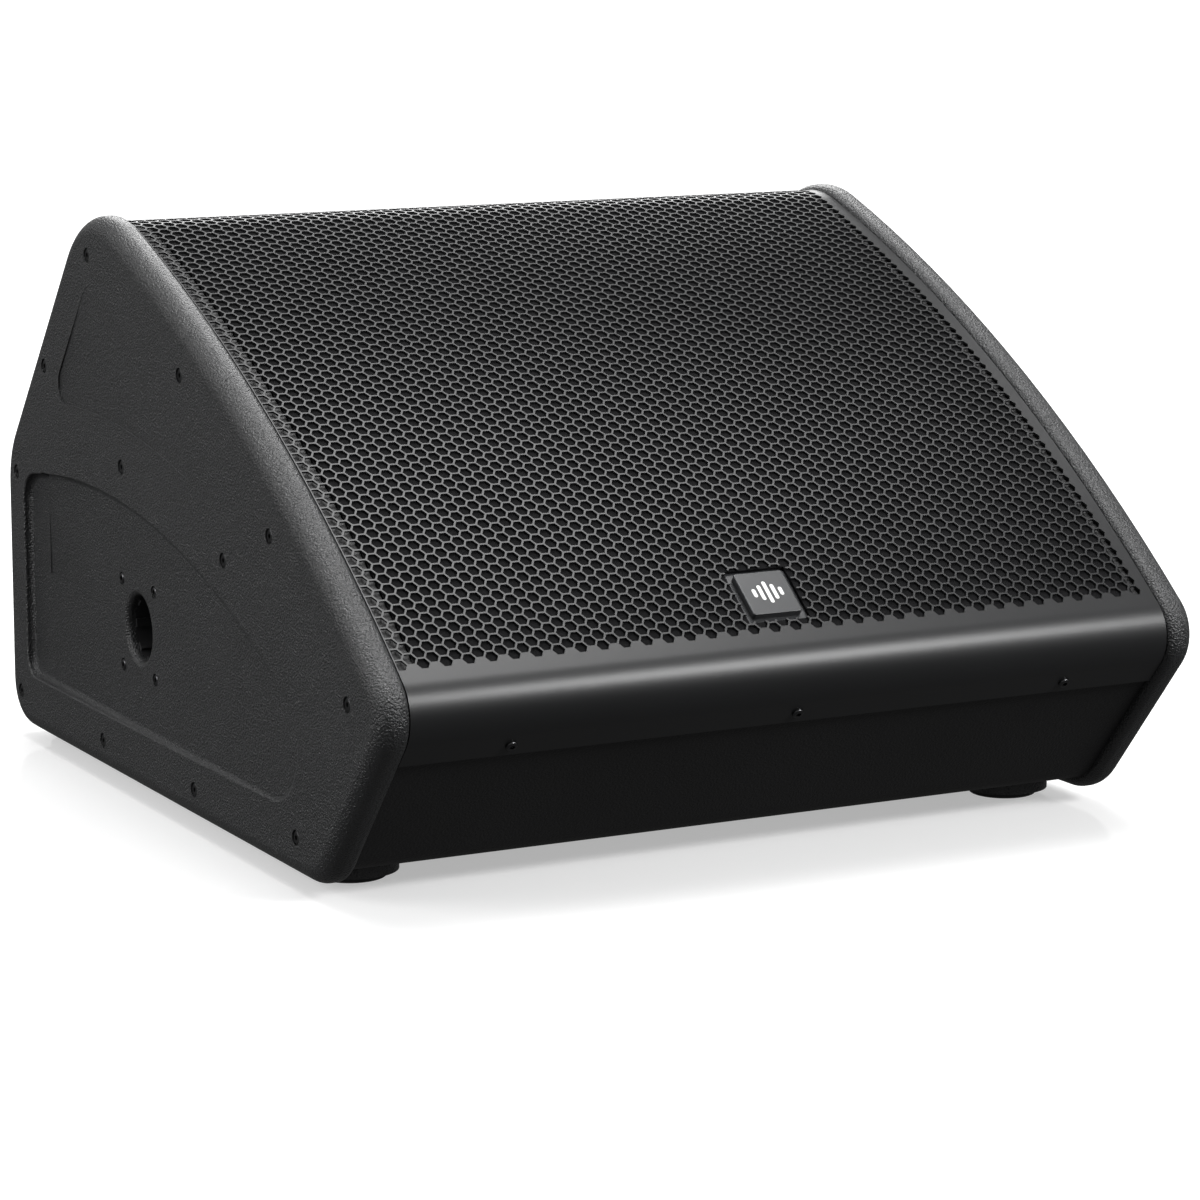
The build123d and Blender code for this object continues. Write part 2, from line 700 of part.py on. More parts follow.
with BuildPart() as badge:
    with BuildSketch(badge_seat.offset(-badge_thickness)):
        RectangleRounded(badge_size, badge_size, 1.5)
    extrude(amount=badge_thickness)
    fillet(badge.edges().group_by(Axis(badge_seat.origin, badge_seat.z_dir))[-1], 0.6)
    with BuildSketch(badge_seat.offset(-badge_thickness)):
        RectangleRounded(badge_window - fit_gap, badge_window - fit_gap, 3)
    extrude(amount=-badge_tray)
badge.part.label = "badge"
export_step(badge.part, "parts/badge.step")


grille_screw = screw(grille_screw_length, head=grille_screw_head)
with BuildPart() as grille_screws:
    for seat_point, normal in (
        (on_lower_front(grille_screw_along, -grille_inset), lower_out),
        (on_rear_slope(rear_screw_along, -grille_inset), rear_out),
    ):
        for x in (-grille_screw_spacing, 0, grille_screw_spacing):
            seat = Plane((x, *seat_point), x_dir=(1, 0, 0), z_dir=(0, *normal))
            add(seat.location * grille_screw)
grille_screws.part.label = "grille_screws"
export_step(grille_screws.part, "parts/grille_screws.step")

# ---------------------------------------------------------------- feet
with BuildPart() as feet:
    for side in (-1, 1):
        for row in foot_rows:
            with BuildSketch(Plane.XY):
                with Locations((side * foot_x, row)):
                    Circle(foot_radius)
            extrude(amount=foot_height)
    fillet(feet.edges().filter_by(GeomType.CIRCLE).group_by(Axis.Z)[0], foot_rounding)
    for side in (-1, 1):
        for row in foot_rows:
            with BuildSketch(Plane.XY):
                with Locations((side * foot_x, row)):
                    Circle(foot_head_seat)
            extrude(amount=foot_height / 2, mode=Mode.SUBTRACT)
            with BuildSketch(Plane.XY):
                with Locations((side * foot_x, row)):
                    Circle(foot_screw_shank + fit_gap)
            extrude(amount=foot_height, mode=Mode.SUBTRACT)
feet.part.label = "feet"
export_step(feet.part, "parts/feet.step")

with BuildPart() as foot_screws:
    for side in (-1, 1):
        for row in foot_rows:
            seat = Plane((side * foot_x, row, foot_height / 2), x_dir=(1, 0, 0), z_dir=(0, 0, -1))
            add(seat.location * screw(foot_screw_length, head=foot_head, shank=foot_screw_shank))
foot_screws.part.label = "foot_screws"
export_step(foot_screws.part, "parts/foot_screws.step")


# ---------------------------------------------------------------- coaxial driver
# Its parts turn about the driver's axis: r is the radius, h the height above the baffle's face.
def turned(*points):
    """Ring made by turning a closed outline of (r, h) points about the driver's axis."""
    with BuildPart() as ring:
        with BuildSketch(driver_section):
            Polygon(*points, align=None)
        revolve(axis=driver_axis)
    return ring.part


flange_height = 4
plate_top, plate_thickness = -94, 10
magnet_thickness = 20
back_plate_thickness = 8
magnet_top = plate_top - plate_thickness
magnet_low = magnet_top - magnet_thickness
back_plate_low = magnet_low - back_plate_thickness
plate_radius, magnet_radius = 75, 82
gap_outer, pole_radius, throat_radius = 34.5, 31.5, 15
former_radius, former_wall, winding_thickness = 32.2, 0.4, 1.0
neck_height, neck_radius = -58, former_radius + former_wall
cone_edge_radius, cone_edge_height, cone_wall = 118, 3, 1.2
surround_outer, surround_wall = 137, 1.0
spider_height, spider_outer, spider_wall = -70, 70, 0.8
spider_rim = spider_outer + 5
running_fit = 0.05
basket_wall = 4
basket_waist, basket_foot, basket_bore, basket_neck = 78, 72, 42, 66
basket_shoulder, basket_waist_drop = -14, 6
shelf_height = spider_height - running_fit
shelf_inner, shelf_outer = 62, spider_rim + 1
window_circle, window_length, window_width, window_start = 104, 46, 40, -16
bore_slack = 0.15

# The terminal block stands on the basket outside the spider's rim
terminal_reach, terminal_drop = spider_rim + 1.5, 71
terminal_width, terminal_height, terminal_depth, terminal_rounding = 30, 14, 10, 2
terminal_seat = Plane(driver_seat.location * Pos(0, terminal_reach, -terminal_drop) * Rot(-90, 0, 0))
with BuildPart() as basket:
    add(turned(
        (surround_outer - 5, flange_height), (frame_radius, flange_height), (frame_radius, 0),
        (driver_cutout - 1, 0), (driver_cutout - 1, basket_shoulder),
        (basket_waist, shelf_height - basket_waist_drop), (basket_foot, plate_top),
        (basket_bore, plate_top), (basket_bore, plate_top + basket_wall),
        (basket_neck, plate_top + basket_wall), (basket_neck, shelf_height - basket_wall),
        (shelf_inner, shelf_height - basket_wall), (shelf_inner, shelf_height),
        (shelf_outer, shelf_height), (surround_outer - 2, basket_shoulder + 2),
        (surround_outer - 2, 0), (surround_outer - 5, 0),
    ))
    with BuildSketch(driver_seat.offset(window_start)):
        with PolarLocations(window_circle, basket_windows):
            SlotOverall(window_length, window_width, rotation=90)
    extrude(amount=shelf_height - window_start + basket_wall, mode=Mode.SUBTRACT)
    with BuildSketch(driver_seat):
        with PolarLocations(driver_bolt_circle, driver_bolts):
            Circle(driver_bolt_hole)
    extrude(amount=flange_height, mode=Mode.SUBTRACT)
    with BuildSketch(terminal_seat):
        RectangleRounded(terminal_width, terminal_height, terminal_rounding)
    extrude(amount=terminal_depth)
basket.part.label = "basket"
export_step(basket.part, "parts/basket.step")

with BuildPart() as basket_bolts:
    for place in PolarLocations(driver_bolt_circle, driver_bolts):
        seat = Plane(driver_seat.location * Pos(0, 0, flange_height) * place)
        bolt_length = flange_height + baffle_thickness + 2
        add(seat.location * screw(bolt_length, shank=driver_bolt_hole - bore_slack))
basket_bolts.part.label = "basket_bolts"
export_step(basket_bolts.part, "parts/basket_bolts.step")

with BuildPart() as top_plate:
    add(turned(
        (gap_outer, plate_top), (plate_radius, plate_top),
        (plate_radius, magnet_top), (gap_outer, magnet_top),
    ))
top_plate.part.label = "top_plate"
export_step(top_plate.part, "parts/top_plate.step")

with BuildPart() as magnet:
    add(turned((45, magnet_top), (magnet_radius, magnet_top), (magnet_radius, magnet_low), (45, magnet_low)))
    fillet(magnet.edges().filter_by(GeomType.CIRCLE).filter_by(lambda e: e.radius > magnet_radius - 1), 2)
magnet.part.label = "magnet"
export_step(magnet.part, "parts/magnet.step")

with BuildPart() as pole_piece:
    add(turned(
        (throat_radius, plate_top + 1), (pole_radius, plate_top + 1), (pole_radius, magnet_low),
        (magnet_radius - 4, magnet_low), (magnet_radius - 4, back_plate_low), (throat_radius, back_plate_low),
    ))
pole_piece.part.label = "pole_piece"
export_step(pole_piece.part, "parts/pole_piece.step")

with BuildPart() as voice_coil:
    add(turned(
        (former_radius, neck_height), (neck_radius, neck_height), (neck_radius, plate_top + 2),
        (neck_radius + winding_thickness, plate_top + 2), (neck_radius + winding_thickness, magnet_top - 4),
        (former_radius, magnet_top - 4),
    ))
voice_coil.part.label = "voice_coil"
export_step(voice_coil.part, "parts/voice_coil.step")

cone_middle_radius, cone_middle_front, cone_middle_back = 75, -29.5, -31
with BuildPart() as cone:
    with BuildSketch(driver_section):
        with BuildLine():
            ThreePointArc(
                (cone_edge_radius, cone_edge_height + cone_wall), (cone_middle_radius, cone_middle_front),
                (neck_radius, neck_height + 4 * cone_wall),
            )
            Line((neck_radius, neck_height + 4 * cone_wall), (neck_radius, neck_height + 2 * cone_wall))
            ThreePointArc(
                (neck_radius, neck_height + 2 * cone_wall), (cone_middle_radius, cone_middle_back),
                (cone_edge_radius, cone_edge_height),
            )
            Line((cone_edge_radius, cone_edge_height), (cone_edge_radius, cone_edge_height + cone_wall))
        make_face()
    revolve(axis=driver_axis)
cone.part.label = "cone"
export_step(cone.part, "parts/cone.step")

roll_low = flange_height + surround_wall
roll_inner, roll_outer = cone_edge_radius + fit_gap, surround_outer - 5
roll_middle, roll_radius = (roll_inner + roll_outer) / 2, (roll_outer - roll_inner) / 2
with BuildPart() as surround:
    with BuildSketch(driver_section):
        with BuildLine():
            ThreePointArc(
                (roll_inner, roll_low), (roll_middle, roll_low + roll_radius), (roll_outer, roll_low),
            )
            Polyline(
                (roll_outer, roll_low), (surround_outer + 3, roll_low), (surround_outer + 3, flange_height),
                (roll_outer - surround_wall, flange_height), (roll_outer - surround_wall, roll_low),
            )
            ThreePointArc(
                (roll_outer - surround_wall, roll_low), (roll_middle, roll_low + roll_radius - surround_wall),
                (roll_inner + surround_wall, roll_low),
            )
            Polyline(
                (roll_inner + surround_wall, roll_low), (roll_inner + surround_wall, cone_edge_height),
                (roll_inner, cone_edge_height), (roll_inner, roll_low),
            )
        make_face()
    revolve(axis=driver_axis)
surround.part.label = "surround"
export_step(surround.part, "parts/surround.step")

wave_inner, wave_outer = neck_radius + fit_gap, spider_outer - 9
wave_pitch = (wave_outer - wave_inner) / spider_waves
with BuildPart() as spider:
    with BuildSketch(driver_section):
        with BuildLine():
            for level in (spider_height, spider_height + spider_wall):
                for step in range(spider_waves):
                    start_r = wave_inner + step * wave_pitch
                    crown = level + spider_wave_height * (1 if step % 2 else -1)
                    end_r = start_r + wave_pitch
                    ThreePointArc((start_r, level), ((start_r + end_r) / 2, crown), (end_r, level))
                Line((wave_outer, level), (spider_rim, level))
            for r in (wave_inner, spider_rim):
                Line((r, spider_height), (r, spider_height + spider_wall))
        make_face()
    revolve(axis=driver_axis)
spider.part.label = "spider"
export_step(spider.part, "parts/spider.step")

# High-frequency unit: it bolts on behind the magnet and fires through the pole into the horn
horn_base = plate_top + 1
horn_waist, horn_lip = (22, -60), (48, -22)
horn_back_waist, horn_back_lip = (25, -58), (50.5, -23.5)
horn_foot, horn_foot_height = 28, -84
with BuildPart() as horn:
    with BuildSketch(driver_section):
        with BuildLine():
            Spline((throat_radius, horn_base), horn_waist, horn_lip, tangents=((0.02, 1), (1, 0.7)))
            Line(horn_lip, horn_back_lip)
            Spline(
                horn_back_lip, horn_back_waist, (horn_foot, horn_foot_height),
                tangents=((-1, -0.8), (0.02, -1)),
            )
            Polyline((horn_foot, horn_foot_height), (horn_foot, horn_base), (throat_radius, horn_base))
        make_face()
    revolve(axis=driver_axis)
horn.part.label = "horn"
export_step(horn.part, "parts/horn.step")

hf_radius, hf_core_radius, hf_core_depth, hf_rim = 48, 30, 14, 6
hf_low = back_plate_low - 34
diaphragm_seat = hf_low + hf_rim
with BuildPart() as hf_magnet:
    add(turned(
        (throat_radius, back_plate_low), (hf_radius, back_plate_low), (hf_radius, diaphragm_seat),
        (hf_core_radius, diaphragm_seat), (hf_core_radius, back_plate_low - hf_core_depth),
        (throat_radius, back_plate_low - hf_core_depth),
    ))
hf_magnet.part.label = "hf_magnet"
export_step(hf_magnet.part, "parts/hf_magnet.step")

dome_rise, dome_bend, dome_bend_rise, dome_radius, dome_drop, dome_skin = 5, 12, 3.6, 22, 1, 0.6
with BuildPart() as hf_diaphragm:
    dome = [
        (0, diaphragm_seat + dome_rise), (dome_bend, diaphragm_seat + dome_bend_rise),
        (dome_radius, diaphragm_seat - dome_drop),
    ]
    add(turned(*dome, *[(r, h - dome_skin) for r, h in reversed(dome)]))
hf_diaphragm.part.label = "hf_diaphragm"
export_step(hf_diaphragm.part, "parts/hf_diaphragm.step")

cover_depth, cover_chamfer, cover_wall, cover_side, cover_lip = 14, 8, 3, 4, 2
cover_bend = hf_low - cover_depth + cover_chamfer
with BuildPart() as hf_cover:
    add(turned(
        (hf_radius, diaphragm_seat), (hf_radius, cover_bend),
        (hf_radius - cover_chamfer, hf_low - cover_depth),
        (0, hf_low - cover_depth), (0, hf_low - cover_depth + cover_wall),
        (hf_radius - cover_chamfer - cover_lip, hf_low - cover_depth + cover_wall),
        (hf_radius - cover_side, cover_bend + 1), (hf_radius - cover_side, diaphragm_seat - cover_lip),
        (hf_core_radius, diaphragm_seat - cover_lip), (hf_core_radius, diaphragm_seat),
    ))
hf_cover.part.label = "hf_cover"
export_step(hf_cover.part, "parts/hf_cover.step")

# ---------------------------------------------------------------- carrying handle in the rear slope
handle_rounding, handle_flange_rounding, handle_floor_rounding, handle_edge_rounding = 14, 18, 10, 1.5
with BuildPart() as handle_cup:
    with BuildSketch(handle_seat):
        RectangleRounded(
            handle_width + 2 * handle_flange, handle_height + 2 * handle_flange, handle_flange_rounding,
        )
    extrude(amount=panel_sheet)
    fillet(handle_cup.edges().group_by(Axis(handle_seat.origin, handle_seat.z_dir))[-1], handle_edge_rounding)
    with BuildSketch(handle_seat):
        RectangleRounded(handle_width, handle_height, handle_rounding)
    extrude(amount=-handle_depth)
    fillet(handle_cup.edges().group_by(Axis(handle_seat.origin, handle_seat.z_dir))[0], handle_floor_rounding)
    with BuildSketch(handle_seat.offset(panel_sheet)):
        RectangleRounded(
            handle_width - 2 * handle_wall, handle_height - 2 * handle_wall, handle_rounding - handle_wall,
        )
    extrude(amount=-handle_depth + handle_wall - panel_sheet, mode=Mode.SUBTRACT)
    with BuildSketch(handle_seat.offset(panel_sheet)):
        with Locations(handle_screw_places):
            Circle(screw_hole)
    extrude(amount=-2 * panel_sheet, mode=Mode.SUBTRACT)
handle_cup.part.label = "handle_cup"
export_step(handle_cup.part, "parts/handle_cup.step")

grip_place = Plane(handle_seat.location * Pos(-handle_width / 2 + handle_wall, grip_rise, -grip_sink)
                   * Rot(0, 90, 0))
with BuildPart() as handle_grip:
    with BuildSketch(grip_place):
        Circle(grip_radius)
    extrude(amount=handle_width - 2 * handle_wall)
handle_grip.part.label = "handle_grip"
export_step(handle_grip.part, "parts/handle_grip.step")

# ---------------------------------------------------------------- connector recess and panel
with BuildPart() as panel_tray:
    with BuildSketch(tray_seat):
        RectangleRounded(tray_width + 2 * tray_flange, tray_height + 2 * tray_flange, tray_rounding + 1)
    extrude(amount=panel_sheet)
    fillet(panel_tray.edges().group_by(Axis.Y)[-1], 1.2)
    with BuildSketch(tray_seat):
        RectangleRounded(tray_width, tray_height, tray_rounding)
    extrude(amount=-tray_depth)
    with BuildSketch(tray_seat.offset(panel_sheet)):
        RectangleRounded(tray_width - 2 * tray_wall, tray_height - 2 * tray_wall, tray_rounding - 2)
    extrude(amount=-tray_depth - panel_sheet, mode=Mode.SUBTRACT)
    with BuildSketch(tray_seat.offset(panel_sheet)):
        with Locations(tray_screw_places):
            Circle(screw_hole)
    extrude(amount=-2 * panel_sheet, mode=Mode.SUBTRACT)
panel_tray.part.label = "panel_tray"
export_step(panel_tray.part, "parts/panel_tray.step")

rear_screw = screw(ply + panel_sheet - 1)
with BuildPart() as rear_screws:
    for x, z in handle_screw_places:
        add(Plane(handle_seat.location * Pos(x, z, panel_sheet)).location * rear_screw)
    for x, z in tray_screw_places:
        add(Plane(tray_seat.location * Pos(x, z, panel_sheet)).location * rear_screw)
rear_screws.part.label = "rear_screws"
export_step(rear_screws.part, "parts/rear_screws.step")

# Places on the panel, seen from behind: across to the right, and up
inlet_place, inlet_size = (-118, 0), (27.5, 20)
switch_place, switch_size = (-72, 0), (13, 28)
knob_place, button_place = (6, 6), (40, 6)
lamp_places = [(x, -22) for x in (-4, 6, 16)]
input_place, output_place = (84, 0), (122, 0)
socket_radius, socket_flange = 11.8, (26, 31)
plate_seat = tray_seat.offset(-tray_depth)
plate_screw_places = [
    (x, side * (tray_height / 2 - 8)) for side in (-1, 1) for x in (-142, -48, 60, 142)
]
with BuildPart() as amp_plate:
    with BuildSketch(plate_seat):
        RectangleRounded(tray_width, tray_height, tray_rounding)
        with Locations(inlet_place):
            Rectangle(inlet_size[0] + 2 * fit_gap, inlet_size[1] + 2 * fit_gap, mode=Mode.SUBTRACT)
        with Locations(switch_place):
            Rectangle(switch_size[0] + 2 * fit_gap, switch_size[1] + 2 * fit_gap, mode=Mode.SUBTRACT)
        with Locations(knob_place):
            Circle(bushing_radius, mode=Mode.SUBTRACT)
        with Locations(button_place):
            Circle(button_radius + 0.3, mode=Mode.SUBTRACT)
        with Locations(lamp_places):
            Circle(lamp_radius, mode=Mode.SUBTRACT)
        with Locations(input_place, output_place):
            Circle(socket_radius + fit_gap, mode=Mode.SUBTRACT)
        with Locations(plate_screw_places):
            Circle(screw_hole, mode=Mode.SUBTRACT)
    extrude(amount=-panel_sheet)
amp_plate.part.label = "amp_plate"
export_step(amp_plate.part, "parts/amp_plate.step")


def on_plate(place, height=0):
    """Plane on the connector panel at a place, raised by height towards the rear."""
    return Plane(plate_seat.location * Pos(place[0], place[1], height))


with BuildPart() as mains_inlet:
    with BuildSketch(on_plate(inlet_place)):
        RectangleRounded(inlet_size[0] + 8, inlet_size[1] + 8, 3)
    extrude(amount=2)
    with BuildSketch(on_plate(inlet_place)):
        Rectangle(*inlet_size)
    extrude(amount=-inlet_depth)
    fillet(mains_inlet.edges().group_by(Axis.Y)[-1], 0.8)
    with BuildSketch(on_plate(inlet_place, 2)) as inlet_mouth:
        Rectangle(inlet_size[0] - 3, inlet_size[1] - 3)
        chamfer(inlet_mouth.vertices().group_by(Axis.Y)[-1], 4)
    extrude(amount=-inlet_depth, mode=Mode.SUBTRACT)
    with BuildSketch(on_plate(inlet_place, 2 - inlet_depth)):
        with Locations((-7, -1), (0, 3), (7, -1)):
            Rectangle(2, 4)
    extrude(amount=inlet_pin_length)
mains_inlet.part.label = "mains_inlet"
export_step(mains_inlet.part, "parts/mains_inlet.step")

rocker_half = switch_size[0] / 2 - 1.5
with BuildPart() as power_switch:
    with BuildSketch(on_plate(switch_place)):
        RectangleRounded(switch_size[0] + 5, switch_size[1] + 5, 2)
    extrude(amount=2)
    fillet(power_switch.edges().group_by(Axis.Y)[-1], 0.8)
    with BuildSketch(on_plate(switch_place)):
        Rectangle(*switch_size)
    extrude(amount=-switch_depth)
    with BuildSketch(on_plate(switch_place, 2)):
        Rectangle(switch_size[0] - 2, switch_size[1] - 2)
    extrude(amount=-switch_well, mode=Mode.SUBTRACT)
    # Blind holes that hold the rocker's pins
    with BuildSketch(Plane(on_plate(switch_place, -rocker_pivot_depth).origin, z_dir=(1, 0, 0))):
        Circle(rocker_pin + running_fit)
    extrude(amount=rocker_half + rocker_pin_reach + fit_gap, both=True, mode=Mode.SUBTRACT)
power_switch.part.label = "power_switch"
export_step(power_switch.part, "parts/power_switch.step")

# The rocker lies over towards its off side at rest and swings through twice its tilt
rocker_lean = (0, -sin(radians(rocker_tilt)), cos(radians(rocker_tilt)))
rocker_pivot = on_plate(switch_place, -rocker_pivot_depth).origin
rocker_side = Plane(rocker_pivot + Vector(rocker_half, 0, 0), x_dir=rocker_lean, z_dir=(-1, 0, 0))
with BuildPart() as power_rocker:
    with BuildSketch(rocker_side):
        with BuildLine():
            Polyline((-10, 5), (-10, 1), (-3.5, -3.5), (3.5, -3.5), (10, 1), (10, 5))
            ThreePointArc((10, 5), (0, 3.6), (-10, 5))
        make_face()
    extrude(amount=2 * rocker_half)
    with BuildSketch(Plane(rocker_pivot, z_dir=(1, 0, 0))):
        Circle(rocker_pin)
    extrude(amount=rocker_half + rocker_pin_reach, both=True)
power_rocker.part.label = "power_rocker"
export_step(power_rocker.part, "parts/power_rocker.step")

with BuildPart() as level_pot:
    with BuildSketch(on_plate(knob_place, -panel_sheet)):
        Circle(8.5)
    extrude(amount=-9)
    with BuildSketch(on_plate(knob_place, -panel_sheet)):
        Circle(bushing_radius - 0.1)
    extrude(amount=panel_sheet + 3)
    with BuildSketch(on_plate(knob_place)):
        RegularPolygon(6.5, 6)
    extrude(amount=2)
    with BuildSketch(on_plate(knob_place, 10)):
        Circle(shaft_radius + running_fit)
    extrude(amount=-20, mode=Mode.SUBTRACT)
level_pot.part.label = "level_pot"
export_step(level_pot.part, "parts/level_pot.step")

with BuildPart() as level_shaft:
    with BuildSketch(on_plate(knob_place, -10)):
        Circle(shaft_radius)
    extrude(amount=knob_low + 6 + 10)
level_shaft.part.label = "level_shaft"
export_step(level_shaft.part, "parts/level_shaft.step")

with BuildPart() as level_knob:
    with BuildSketch(on_plate(knob_place, knob_low)):
        Circle(knob_radius)
    extrude(amount=knob_height, taper=3)
    fillet(level_knob.edges().group_by(Axis.Y)[-1], 1.2)
    with BuildSketch(on_plate(knob_place, knob_low)):
        with PolarLocations(knob_radius + 0.6, knob_flutes):
            Circle(1.3)
    extrude(amount=knob_height - 3, mode=Mode.SUBTRACT)
    with BuildSketch(on_plate((knob_place[0], knob_place[1] + knob_radius * 0.55), knob_low + knob_height)):
        SlotOverall(knob_radius * 0.7, 1.4, rotation=90)
    extrude(amount=-0.6, mode=Mode.SUBTRACT)
    with BuildSketch(on_plate(knob_place, knob_low)):
        Circle(shaft_radius)
    extrude(amount=6, mode=Mode.SUBTRACT)
level_knob.part.label = "level_knob"
export_step(level_knob.part, "parts/level_knob.step")

with BuildPart() as mode_button:
    with BuildSketch(on_plate(button_place, -panel_sheet - 1)):
        Circle(button_radius)
    extrude(amount=button_rise + panel_sheet + 1)
    fillet(mode_button.edges().group_by(Axis.Y)[-1], 0.8)
mode_button.part.label = "mode_button"
export_step(mode_button.part, "parts/mode_button.step")

with BuildPart() as mode_switch:
    with BuildSketch(on_plate(button_place, -panel_sheet - 1 - button_travel)):
        Rectangle(10, 10)
    extrude(amount=-6)
    with BuildSketch(on_plate(button_place, -panel_sheet)):
        with Locations((-6, 0), (6, 0)):
            Rectangle(2, 10)
    extrude(amount=-button_travel - 7)
mode_switch.part.label = "mode_switch"
export_step(mode_switch.part, "parts/mode_switch.step")

with BuildPart() as status_lamps:
    for place in lamp_places:
        with BuildSketch(on_plate(place, -panel_sheet - 4)):
            Circle(lamp_radius)
        extrude(amount=panel_sheet + 5.4)
    fillet(status_lamps.edges().group_by(Axis.Y)[-1], 1.2)
status_lamps.part.label = "status_lamps"
export_step(status_lamps.part, "parts/status_lamps.step")


socket_plate = 2
socket_screw_spots = [(-9.5, 12), (9.5, -12)]
contact_circle, contact_hole, contact_pin, socket_core = 4.9, 1.3, 1.2, 7.4


def audio_socket(place, core_radius):
    """Round three-pole socket on a D-shaped flange; a core fills it, or pins stand in it."""
    with BuildPart() as socket:
        with BuildSketch(on_plate(place)):
            RectangleRounded(*socket_flange, 2.5)
            with Locations(socket_screw_spots):
                Circle(screw_hole - 0.4, mode=Mode.SUBTRACT)
        extrude(amount=socket_plate)
        with BuildSketch(on_plate(place)):
            Circle(socket_radius)
        extrude(amount=-socket_depth)
        with BuildSketch(on_plate(place, socket_plate)):
            Circle(socket_bore)
        extrude(amount=-socket_depth, mode=Mode.SUBTRACT)
        if core_radius:
            with BuildSketch(on_plate(place, socket_plate - socket_depth)):
                Circle(core_radius)
                with PolarLocations(contact_circle, 3, start_angle=90):
                    Circle(contact_hole, mode=Mode.SUBTRACT)
            extrude(amount=socket_depth - 1)
        else:
            with BuildSketch(on_plate(place, socket_plate - socket_depth)):
                with PolarLocations(contact_circle, 3, start_angle=-90):
                    Circle(contact_pin)
            extrude(amount=socket_depth - socket_pin_drop)
    return socket.part


with BuildPart() as input_socket:
    add(audio_socket(input_place, socket_core))
    with BuildSketch(on_plate((input_place[0], latch_up - latch_travel / 2), 2)):
        Rectangle(8 + 2 * fit_gap, latch_height + latch_travel + 2 * fit_gap)
    extrude(amount=-2, mode=Mode.SUBTRACT)
input_socket.part.label = "input_socket"
export_step(input_socket.part, "parts/input_socket.step")

with BuildPart() as input_latch:
    with BuildSketch(on_plate((input_place[0], latch_up), 0.2)):
        Rectangle(8, latch_height)
    extrude(amount=3)
    fillet(input_latch.edges().group_by(Axis.Y)[-1], 0.5)
input_latch.part.label = "input_latch"
export_step(input_latch.part, "parts/input_latch.step")

with BuildPart() as output_socket:
    add(audio_socket(output_place, 0))
output_socket.part.label = "output_socket"
export_step(output_socket.part, "parts/output_socket.step")

with BuildPart() as panel_screws:
    for place in plate_screw_places:
        add(on_plate(place).location * screw(plate_screw_length, head=head_radius - 0.8))
    for place in (input_place, output_place):
        for dx, dz in socket_screw_spots:
            seat = on_plate((place[0] + dx, place[1] + dz), socket_plate)
            add(seat.location * screw(socket_plate, head=2.4, shank=screw_hole - 0.5))
panel_screws.part.label = "panel_screws"
export_step(panel_screws.part, "parts/panel_screws.step")

# ---------------------------------------------------------------- amplifier inside
sink_place, sink_size = (0, 0), (120, 60)
with BuildPart() as heatsink:
    with BuildSketch(on_plate(sink_place, -sink_gap)):
        Rectangle(*sink_size)
    extrude(amount=-6)
    with BuildSketch(on_plate(sink_place, -sink_gap - 6)):
        with GridLocations(sink_pitch, 0, sink_fins, 1):
            Rectangle(2, sink_size[1])
    extrude(amount=-sink_fin_depth)
heatsink.part.label = "heatsink"
export_step(heatsink.part, "parts/heatsink.step")

board_thickness, part_height, capacitor_radius = 1.6, 30, 11
capacitor_spots = [(x, z) for x in (40, 66) for z in (-20, 8)]
coil_x, coil_radius, coil_hole, coil_rounding = -70, 34, 12, 6
with BuildPart() as amp_board:
    with BuildSketch(on_plate((0, 0), -board_gap)):
        RectangleRounded(*board_size, 3)
        with GridLocations(*board_posts, 2, 2):
            Circle(screw_hole, mode=Mode.SUBTRACT)
    extrude(amount=-board_thickness)
amp_board.part.label = "amp_board"
export_step(amp_board.part, "parts/amp_board.step")

with BuildPart() as standoffs:
    with BuildSketch(on_plate((0, 0), -panel_sheet)):
        with GridLocations(*board_posts, 2, 2):
            RegularPolygon(3.5, 6)
    extrude(amount=panel_sheet - board_gap)
    with BuildSketch(on_plate((0, 0), -panel_sheet)):
        with GridLocations(sink_size[0] - 10, sink_size[1] - 8, 2, 2):
            RegularPolygon(3.5, 6)
    extrude(amount=panel_sheet - sink_gap)
standoffs.part.label = "standoffs"
export_step(standoffs.part, "parts/standoffs.step")

with BuildPart() as capacitors:
    with BuildSketch(on_plate((0, 0), -board_gap - board_thickness)):
        with Locations(capacitor_spots):
            Circle(capacitor_radius)
    extrude(amount=-part_height)
    fillet(capacitors.edges().group_by(Axis.Y)[0], 1)
capacitors.part.label = "capacitors"
export_step(capacitors.part, "parts/capacitors.step")

with BuildPart() as transformer:
    with BuildSketch(on_plate((coil_x, 0), -board_gap - board_thickness)):
        Circle(coil_radius)
        Circle(coil_hole, mode=Mode.SUBTRACT)
    extrude(amount=-part_height)
    fillet(transformer.edges(), coil_rounding)
transformer.part.label = "transformer"
export_step(transformer.part, "parts/transformer.step")

wadding_margin, wadding_length, wadding_height, wadding_y = 10, 400, 18, 40
with BuildPart() as wadding:
    with BuildSketch(Plane.XY.offset(floor_high)):
        with Locations((0, wadding_y)):
            RectangleRounded(2 * (side_inner - wadding_margin), wadding_length, 12)
    extrude(amount=wadding_height)
    fillet(wadding.edges().group_by(Axis.Z)[-1], 6)
wadding.part.label = "wadding"
export_step(wadding.part, "parts/wadding.step")

